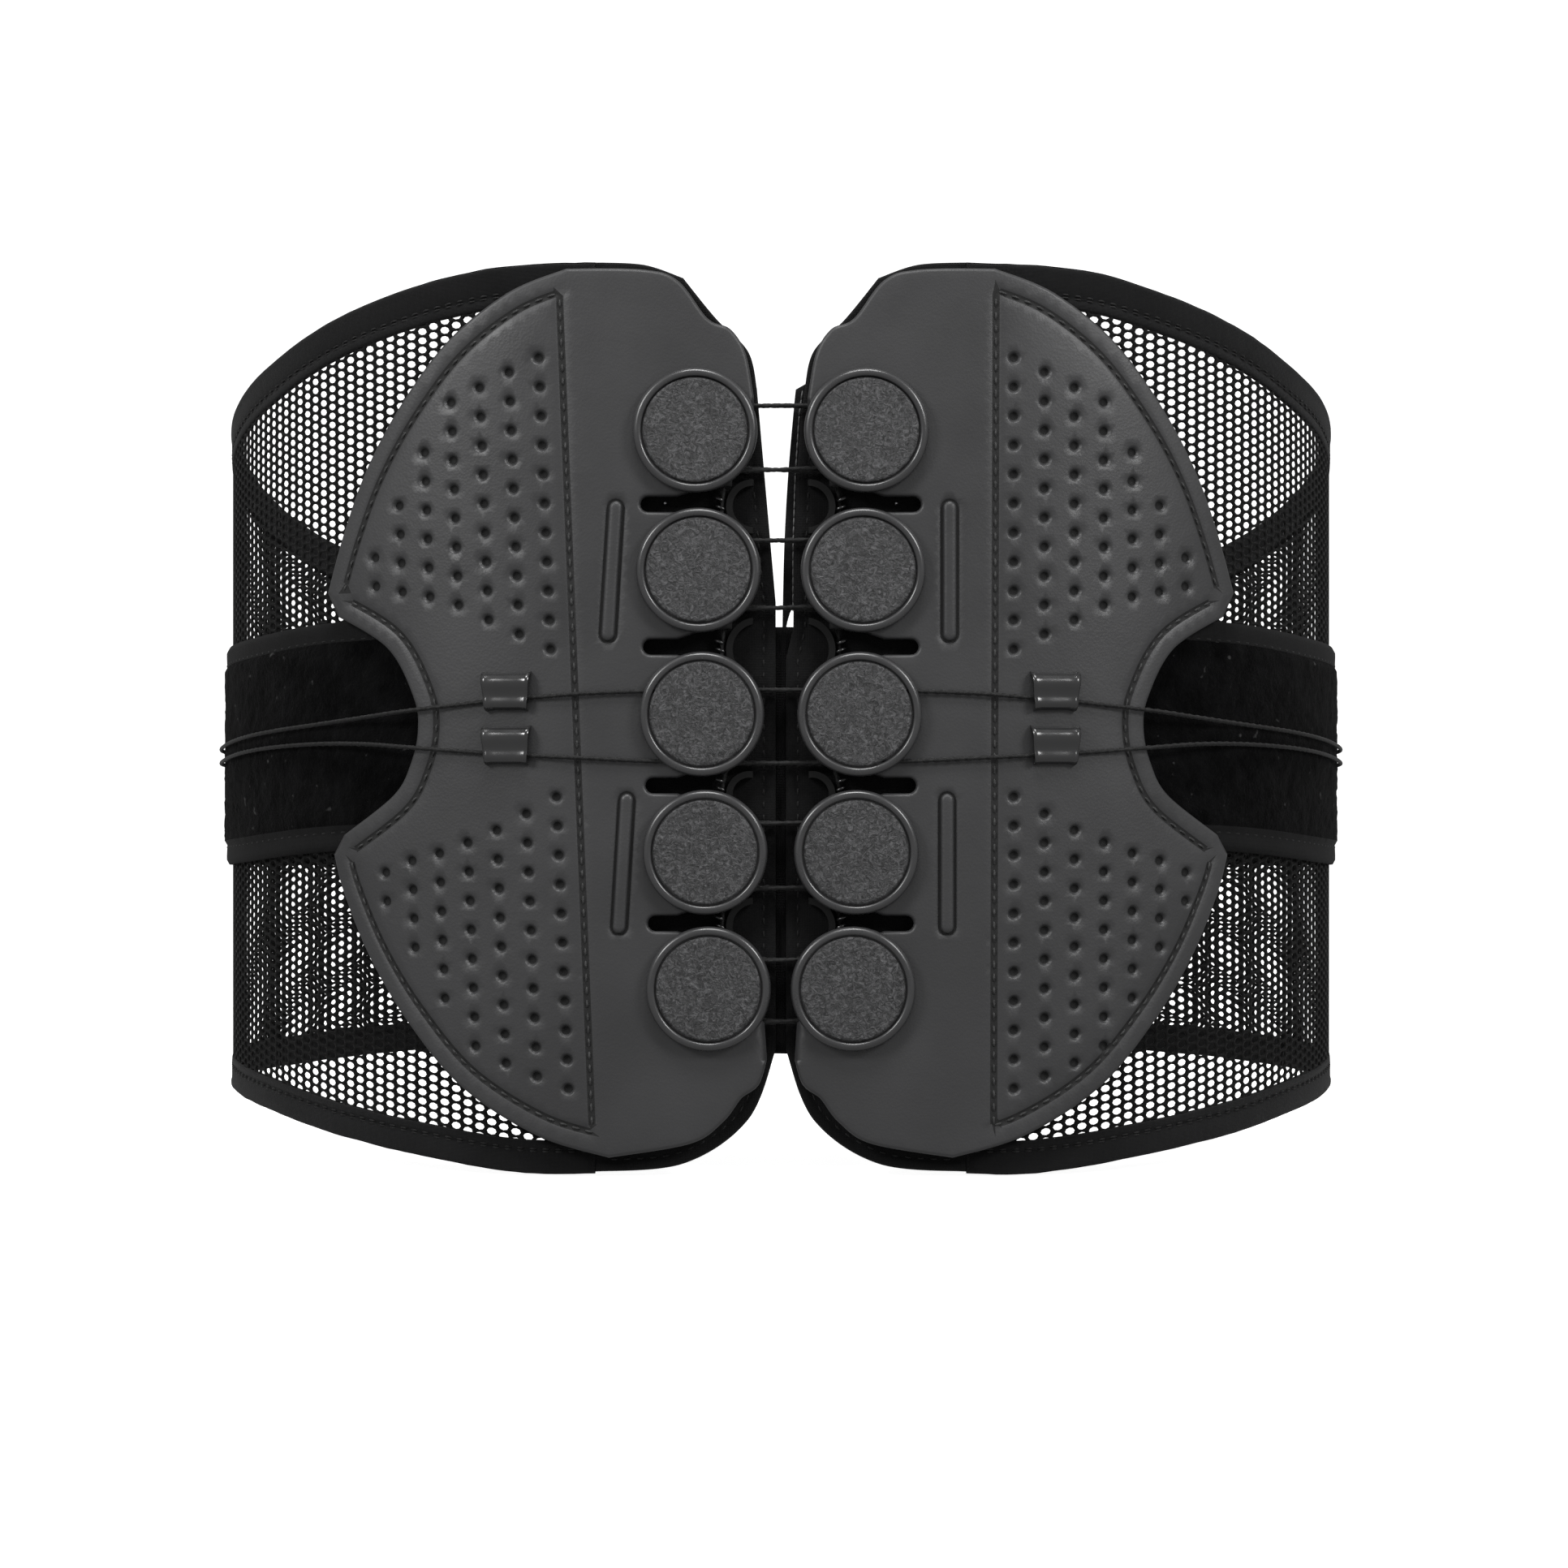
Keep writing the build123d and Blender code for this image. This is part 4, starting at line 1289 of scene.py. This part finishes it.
def make_loops(side):
    """Two moulded tunnels on the wing, wider and flared at the top."""
    verts, faces = [], []
    line = smooth_curve(LOOP_LINE, 0.35)
    normal = normals_of(line, False)
    inner = line + normal * LOOP_WALL
    inner[:, 1] = np.maximum(inner[:, 1], 6.2)
    middle, half = sum(LOOP_RUN) / 2, (LOOP_RUN[1] - LOOP_RUN[0]) / 2
    size, stations = len(line), np.linspace(-1, 1, 13)
    for cord_z in LOOP_Z:
        first = len(verts)
        for t in stations:
            flare = 0.32 * max(abs(t) - 0.75, 0) / 0.25
            for wall_line, least in ((line, 0.0), (inner, 6.1)):
                for (u, n), way in zip(wall_line, -normal):
                    taper = 0.86 + 0.14 * min(max((u + 2.4) / 9.3, 0), 1)
                    out = max(n + way[1] * flare, least)
                    verts.append((middle + t * half * taper, out, cord_z + u + way[0] * flare))
        ring = 2 * size
        for i in range(len(stations) - 1):
            for k in range(size - 1):
                a = first + i * ring + k
                b = a + size
                faces.append((a, a + 1, a + ring + 1, a + ring))
                faces.append((b, b + ring, b + ring + 1, b + 1))
            for k in (0, size - 1):
                a = first + i * ring + k
                quad = (a, a + ring, a + ring + size, a + size)
                faces.append(quad if k == 0 else quad[::-1])
        for i, turned in ((0, False), (len(stations) - 1, True)):
            for k in range(size - 1):
                a = first + i * ring + k
                quad = (a, a + size, a + size + 1, a + 1)
                faces.append(quad[::-1] if turned else quad)
    obj = piece(side + "_cord_tunnels", place(side, *np.array(verts).T), facing(side, faces), LOOP)
    finish(obj, side, "back", "loop_plastic", side + "_cord_loops")


# ---------------------------------------------------------------- cords
CORD_R = 0.6
HOLD = 12 * CORD_R
CORD_ON_STRAP = 4.85
CORD_ON_SHELL = 7.25
LACE_LAYER = {"left": 2.8, "right": 4.2}
WRAP_R = 8.0
TURN_X = 14.4
TURNS = ((60.0, 43.0), (26.0, 6.4), (-12.0, -27.2), (-43.2, -61.2))
LOOP_MIDDLE = 66.4


def side_route(zs):
    runs = (203.3, 182, 160, 140, 120)
    return [(s, CORD_ON_STRAP, z) for s, z in zip(runs, zs)]


def front_route(z):
    runs = (301, 282, 262, 242, 222)
    return [(s, CORD_ON_STRAP, z + h) for s, h in zip(runs, (0.1, 0.1, 0, -0.1, -0.1))]


def crossing(row, below, turn_z, layer):
    """A straight strand from a pulley to its turn on the other side, held 6 diameters from each."""
    pulley = np.array((row_x(ROWS[row]) + WRAP_R, layer, ROWS[row] + (-WRAP_R if below else WRAP_R)))
    turn = np.array((-TURN_X, layer, turn_z))
    step = (turn - pulley) / np.linalg.norm(turn - pulley) * HOLD
    return [tuple(p) for p in (pulley, pulley + step, turn - step, turn)]


def upper_lacing(layer):
    near = CORD_ON_SHELL
    x1 = row_x(ROWS[0]) + WRAP_R
    return [
        (LOOP_MIDDLE, near, 3.9), (57, near, 4.6), (50, near, 5.2), (37, near - 0.2, 5.8),
        (29, near - 0.1, 5.8), (15.5, layer + 0.1, 6.1), (6, layer, 6.2), (-TURN_X + HOLD, layer, 6.3),
        (-TURN_X, layer, TURNS[1][1]),
        *reversed(crossing(1, True, TURNS[1][0], layer)), *crossing(1, False, TURNS[0][1], layer),
        *reversed(crossing(0, True, TURNS[0][0], layer)), (x1, layer, ROWS[0] + WRAP_R),
        (-12.5, layer, 76.2),
    ]


def lower_lacing(layer):
    near = CORD_ON_SHELL
    x5 = row_x(ROWS[4]) + WRAP_R
    return [
        (LOOP_MIDDLE, near, -9.7), (57, near, -10.2), (50, near, -10.5), (37, near - 0.2, -11.2),
        (27.5, near - 0.1, -11.5), (15.5, layer + 0.1, -11.6), (6, layer, -11.8),
        (-TURN_X + HOLD, layer, -11.9), (-TURN_X, layer, TURNS[2][0]),
        *reversed(crossing(3, False, TURNS[2][1], layer)), *crossing(3, True, TURNS[3][0], layer),
        *reversed(crossing(4, False, TURNS[3][1], layer)), (x5, layer, ROWS[4] - WRAP_R),
        (-11.5, layer, -76.2),
    ]


def upper_side():
    near = CORD_ON_SHELL
    onto = [(104, 6.2, -0.2), (92, near + 0.7, 1.2), (77, near, 2.8), (LOOP_MIDDLE, near, 3.9)]
    return front_route(-8.3) + side_route((-8.3, -7.4, -5.2, -3.4, -1.8)) + onto


def lower_side():
    near = CORD_ON_SHELL
    onto = [(104, 6.2, -6.9), (92, near + 0.7, -7.8), (77, near, -9.0), (LOOP_MIDDLE, near, -9.7)]
    return front_route(-11.9) + side_route((-11.9, -11.2, -9.0, -7.5, -6.7)) + onto


def centreline(name, side, route):
    """The smooth line that a route's points pull a cord into, in metres."""
    data = bpy.data.curves.new(name + "_line", "CURVE")
    data.dimensions = "3D"
    data.resolution_u = 14
    spline = data.splines.new("NURBS")
    spline.points.add(len(route) - 1)
    for point, (s, n, z) in zip(spline.points, route):
        point.co = (*spot(side, s, n, z), 1)
    spline.order_u = 3
    spline.use_endpoint_u = True
    holder = bpy.data.objects.new(name + "_line", data)
    mesh = bpy.data.meshes.new_from_object(holder)
    points = np.array([tuple(v.co) for v in mesh.vertices])
    bpy.data.objects.remove(holder)
    bpy.data.meshes.remove(mesh)
    bpy.data.curves.remove(data)
    return points


def rope(name, line, radius):
    """A twisted cord round a line of points, its strands raised in the mesh."""
    lay, strands, depth, pitch, around = 0.0026, 3, 0.16, 0.0006, 9
    steps = np.linalg.norm(np.diff(line, axis=0), axis=1)
    run = np.concatenate([[0], np.cumsum(steps)])
    count = max(8, int(run[-1] / pitch))
    at = np.linspace(0, run[-1], count)
    path = np.stack([np.interp(at, run, line[:, k]) for k in range(3)], -1)
    way = np.gradient(path, axis=0)
    way /= np.linalg.norm(way, axis=1, keepdims=True)
    verts, faces = [], []
    first = np.cross(way[0], (0.3, 0.2, 0.93))
    first /= np.linalg.norm(first)
    for i in range(count):
        first = first - way[i] * first.dot(way[i])
        first /= np.linalg.norm(first)
        second = np.cross(way[i], first)
        for k in range(around):
            a = 2 * math.pi * k / around
            twist = strands * a + 2 * math.pi * at[i] / lay * strands / 3
            bulge = radius * (1 - depth + depth * math.cos(twist))
            verts.append(path[i] + (first * math.cos(a) + second * math.sin(a)) * bulge)
        if i:
            for k in range(around):
                a, b = (i - 1) * around + k, (i - 1) * around + (k + 1) % around
                faces.append((a, b, b + around, a + around))
    faces.append(tuple(reversed(range(around))))
    faces.append(tuple((count - 1) * around + k for k in range(around)))
    return piece(name, verts, faces, CORD)


def make_cords(side):
    layer = LACE_LAYER[side]
    for label, lacing, onto in (
        ("upper", upper_lacing(layer), upper_side()), ("lower", lower_lacing(layer), lower_side()),
    ):
        nodes = (side + "_" + label + "_cord", side + "_front_cords")
        name = side + "_" + label + "_lacing"
        line = centreline(name, side, lacing)
        obj = rope(name, line, CORD_R * MM)
        across = SIDES[side] * 6.0 * MM
        start, end = ((x, BACK_Y * MM, 0) for x in (across, -across))
        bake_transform(obj)
        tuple(start)
        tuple(end)
        declare_cord(nodes[:1])
        name = side + "_" + label + "_draw_cord"
        line = centreline(name, side, onto)[::-1]
        obj = rope(name, line, CORD_R * MM)
        belt_blend(obj, side)
        declare_cord(nodes)


def declare_cord(nodes):
    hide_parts(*nodes)


for side in SIDES:
    make_nets(side)
    make_bindings(side)
    make_straps(side)
    make_end_tape(side)
    make_base(side)
    make_foam(side)
    make_ribs(side)
    make_loops(side)
    make_cords(side)


# ---------------------------------------------------------------- lumbar pads
PAD_UPPER = ((46, 101), (67, 88.5), (85, 68.5), (97.5, 45), (103, 24))
PAD_LOWER = ((102.5, -30), (94.5, -58), (77, -81), (58, -94.5), (38, -101))
PAD_FOOT = ((38, -101), (20, -97.5), (9.5, -87), (6, -70))
PAD_HEAD = ((6, 72), (12, 88), (25, 98), (46, 101))
QUILT_PITCH = 24.0
# half thickness of the flat form before it is filled
PAD_HALF = 1.3


def pad_outline():
    curves = (PAD_UPPER, PAD_LOWER, PAD_FOOT, PAD_HEAD)
    outline = joined(*(smooth_curve(c, 2.5) for c in curves), least=0.2)
    outline = np.stack([run_at(outline[:, 0], PAD[1]), outline[:, 1]], -1)
    return counterclockwise(evenly(np.vstack([outline, outline[:1]]), 3.0)[:-1])


def swell(obj, frames=20, most=4.0 * MM):
    """Fill a closed cloth form with air, then settle it within a few millimetres."""
    start = np.array([tuple(v.co) for v in obj.data.vertices])
    cloth = obj.modifiers.new("cloth", "CLOTH")
    cloth.settings.quality = 5
    cloth.settings.use_pressure = True
    cloth.settings.uniform_pressure_force = 4.0
    cloth.settings.effector_weights.gravity = 0.0
    cloth.settings.tension_stiffness = 12
    cloth.settings.bending_stiffness = 0.4
    cloth.point_cache.frame_end = frames
    scene = bpy.context.scene
    for frame_number in range(1, frames + 1):
        scene.frame_set(frame_number)
    shaped = obj.evaluated_get(bpy.context.evaluated_depsgraph_get())
    moved = np.array([tuple(v.co) for v in shaped.data.vertices])
    obj.modifiers.remove(cloth)
    scene.frame_set(1)
    shift = moved - start
    size = np.linalg.norm(shift, axis=1, keepdims=True)
    return start + shift * np.minimum(1, most / np.maximum(size, 1e-9))


def flat_pad():
    """The pad lying flat: x is the run, y the distance inward, z the height."""
    outline = pad_outline()
    middle = outline.mean(0)
    core = middle + (outline - middle) * 0.97
    flat, tris = triangulate(core, lattice(core, 5.0, 2.0))
    verts = [(s * MM, y * MM, z * MM) for y in (-PAD_HALF, PAD_HALF) for s, z in flat]
    mesh = bpy.data.meshes.new("flat_pad")
    mesh.from_pydata(verts, [], sheet_faces(tris, len(flat)))
    obj = bpy.data.objects.new("flat_pad", mesh)
    bpy.context.scene.collection.objects.link(obj)
    obj.select_set(True)
    bpy.context.view_layer.objects.active = obj
    remesh = obj.modifiers.new("remesh", "REMESH")
    remesh.mode = "VOXEL"
    remesh.voxel_size = 2.4 * MM
    bpy.ops.object.modifier_apply(modifier="remesh")
    shape = swell(obj)
    for vertex, co in zip(obj.data.vertices, shape):
        vertex.co = co
    divide = obj.modifiers.new("divide", "SUBSURF")
    divide.levels = 1
    bpy.ops.object.modifier_apply(modifier="divide")
    verts = np.array([tuple(v.co) for v in obj.data.vertices]) / MM
    faces = [tuple(p.vertices) for p in obj.data.polygons]
    bpy.data.objects.remove(obj)
    return verts, faces


def make_pads():
    verts, faces = flat_pad()
    depth = np.clip(verts[:, 1], -2.7, 2.7)
    channel = np.abs((verts[:, 2] + verts[:, 0] * 0.25 + 12.0) / QUILT_PITCH % 1 - 0.5) * QUILT_PITCH
    quilt = 1 - 0.42 * np.exp(-((channel / 1.6) ** 2))
    outward = (PAD[0] + PAD[1]) / 2 + np.where(depth > 0, -depth * quilt, -depth * 0.8)
    for side in SIDES:
        order = [tuple(reversed(f)) for f in faces] if side == "left" else faces
        obj = piece(side + "_back_pad", place(side, verts[:, 0], outward, verts[:, 2]), order, LINING)
        finish(obj, side, "back", "pad_lining", side + "_lumbar_pad")


# ---------------------------------------------------------------- stretch gusset
def make_gusset():
    """Pleated stretch cloth behind the gap, held by both base panels."""
    half, low, high, stretch = 12.0, -84.0, 22.0, 1.15
    x, z = np.meshgrid(np.linspace(-half, half, 97), np.linspace(low, high, 44), indexing="ij")
    middle, swing = (GUSSET[0] + GUSSET[1]) / 2, (GUSSET[1] - GUSSET[0]) / 2 - 0.2
    pleat = np.sign(np.sin(x * 1.6)) * np.abs(np.sin(x * 1.6)) ** 0.6
    n = middle + swing * pleat * (0.85 + 0.15 * np.sin(z * 0.31 + x))
    layers = [np.stack([x, BACK_Y - (n + offset), z], -1).reshape(-1, 3) for offset in (0.17, -0.17)]
    obj = piece("centre_stretch_cloth", np.vstack(layers) * MM, grid_faces(*x.shape), STRETCH)
    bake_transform(obj)
    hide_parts("centre_gusset")


# ---------------------------------------------------------------- pull tabs
TAB_RUN = (262.0, 320.0)


def rounded_box(low_s, high_s, low_z, high_z, radius, step=1.5):
    corners = (
        (high_s - radius, low_z + radius, -90), (high_s - radius, high_z - radius, 0),
        (low_s + radius, high_z - radius, 90), (low_s + radius, low_z + radius, 180),
    )
    points = []
    for s, z, start in corners:
        for k in range(9):
            a = math.radians(start + 90 * k / 8)
            points.append((s + radius * math.cos(a), z + radius * math.sin(a)))
    return evenly(np.vstack([points, points[:1]]), step)[:-1]


def make_tab(side):
    """A moulded pull with a dished thumb rest, a grip ridge and fine ribs."""
    start, end = TAB_RUN
    middle, half = -9.8, 22.0
    outline = rounded_box(start, end, middle - half, middle + half, 9.0)

    def relief(points, away):
        s, z = points.T
        ridge = 1.75 * np.exp(-(((s - (end - 11.0)) / 2.6) ** 4))
        inside_edge = np.clip(away / 2.5, 0, 1)
        dish = -0.7 * np.exp(-(((s - 291.0) / 11.0) ** 4) - ((z - middle) / 13.0) ** 4)
        ribs = 0.3 * np.maximum(np.sin((s - start) * 2.2), 0) * (s > end - 32) * (s < end - 16)
        ribs *= np.abs(z - middle) < 11.5
        frame_line = -0.35 * np.exp(-(((away - 3.2) / 0.45) ** 2))
        return (ridge + dish + ribs) * inside_edge + frame_line

    rings = [inset(outline, d) for d in (2.8, 3.2, 3.6)]
    tab, _, _ = panel(
        side + "_pull_handle", side, outline, 6.0, 7.4, TAB_PLASTIC, pitch=0.9, edge=0.65, extra=rings,
        relief=relief,
    )
    finish(tab, side, "tab", "tab_plastic", side + "_pull_tab")
    foot_low = rounded_box(start + 2, end - 2, middle - half + 2, middle - 4.2, 4.0)
    foot_high = rounded_box(start + 2, end - 2, middle + 4.2, middle + half - 2, 4.0)
    for label, foot in (("lower", foot_low), ("upper", foot_high)):
        hook, _, _ = panel(side + "_pull_hook_" + label, side, foot, 3.75, 6.0, HOOK, pitch=1.3, edge=0.4)
        finish(hook, side, "tab", "hook_tape", side + "_pull_tab")


# ---------------------------------------------------------------- front closure
def front_panel(name, x0, x1, z0, z1, radius, low, high, mat, pitch, relief=None, extra=()):
    """A flat-laid piece at the front; the distance outward is measured to the front."""
    outline = counterclockwise(rounded_box(x0, x1, z0, z1, radius))
    lines = [inset(outline, d) for d in extra]
    flat, tris, top, bottom = layered(outline, low, high, pitch, (high - low) * 0.42, lines, relief)
    verts = np.vstack([np.stack([flat[:, 0], n - BACK_Y, flat[:, 1]], -1) for n in (top, bottom)])
    faces = [tuple(reversed(f)) for f in sheet_faces(tris, len(flat))]
    return piece(name, verts * MM, faces, mat)


def make_front():
    draw = np.random.default_rng(5)

    def pile(points, away):
        tuft = np.clip(draw.normal(0, 0.12, len(away)), -0.25, 0.25)
        rim = np.clip((away - 5.5) / 0.8, 0, 1)
        return -0.35 * (1 - rim) + tuft * rim - 0.25 * np.exp(-(((away - 4.6) / 0.5) ** 2))

    def hooks(points, away):
        return 0.12 * (np.sin(points[:, 0] * 4.2) * np.sin(points[:, 1] * 4.2)) * np.clip(away / 1.0, 0, 1)

    flap = front_panel(
        "closure_plush_flap", -30.0, 50.0, -88.0, 18.0, 9.0, 2.7, 4.5, PILE, 1.5, pile,
        (4.0, 4.6, 5.2, 6.3),
    )
    sewn = front_panel("closure_sewn_end", -28.0, -8.0, -86.0, 16.0, 7.0, 1.65, 2.75, EDGE, 2.5)
    for obj in (flap, sewn):
        finish(obj, "left", "front", "plush_strap", "closure_flap")
    patch = front_panel("closure_hook_tape", 8.0, 47.0, -84.0, 14.0, 5.0, 1.9, 2.62, HOOK, 0.75, hooks)
    finish(patch, "left", "front", "hook_tape", "hook_patch")


def make_lace_hooks(side):
    """Small bright hooks and a rivet head that show in the slots."""
    lines = []
    for z in SLOT_Z:
        lines += [((16.6, z + 1.9), (13.4, z + 0.6)), ((16.2, z - 0.2), (13.2, z - 1.5))]
    obj = stitches(side + "_lace_hooks", side, lines, 4.4, LOOP, 3.0, 0.3, 0.42, 0.5)
    finish(obj, side, "back", "pulley_plastic")
    bpy.ops.mesh.primitive_uv_sphere_add(segments=20, ring_count=12, radius=0.42 * MM)
    bead = bpy.context.object
    bead.name = side + "_slot_rivet"
    bead.data.name = bead.name
    bead.data.transform(Matrix.Translation(spot(side, 28.6, 2.3, SLOT_Z[0] + 0.5)))
    bead.data.shade_smooth()
    bead.data.materials.append(STEEL)
    finish(bead, side, "back", "rivet_metal")


def finish_cad_parts():
    """Better finishes on the parts whose own shape stays."""
    finishes = {"axle_rivets": STEEL, "lace_guides": GUIDE_SHADE_BLACK}
    for row in (1, 2, 4, 5):
        finishes["pulley_" + str(row)] = PULLEY_PLASTIC
    for side in SIDES:
        for part, mat in finishes.items():
            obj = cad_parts[side + "_" + part]
            for slot in obj.material_slots:
                slot.material = mat


for side in SIDES:
    make_tab(side)
    make_lace_hooks(side)
make_edge_tape()
make_pads()
make_gusset()
make_front()
finish_cad_parts()
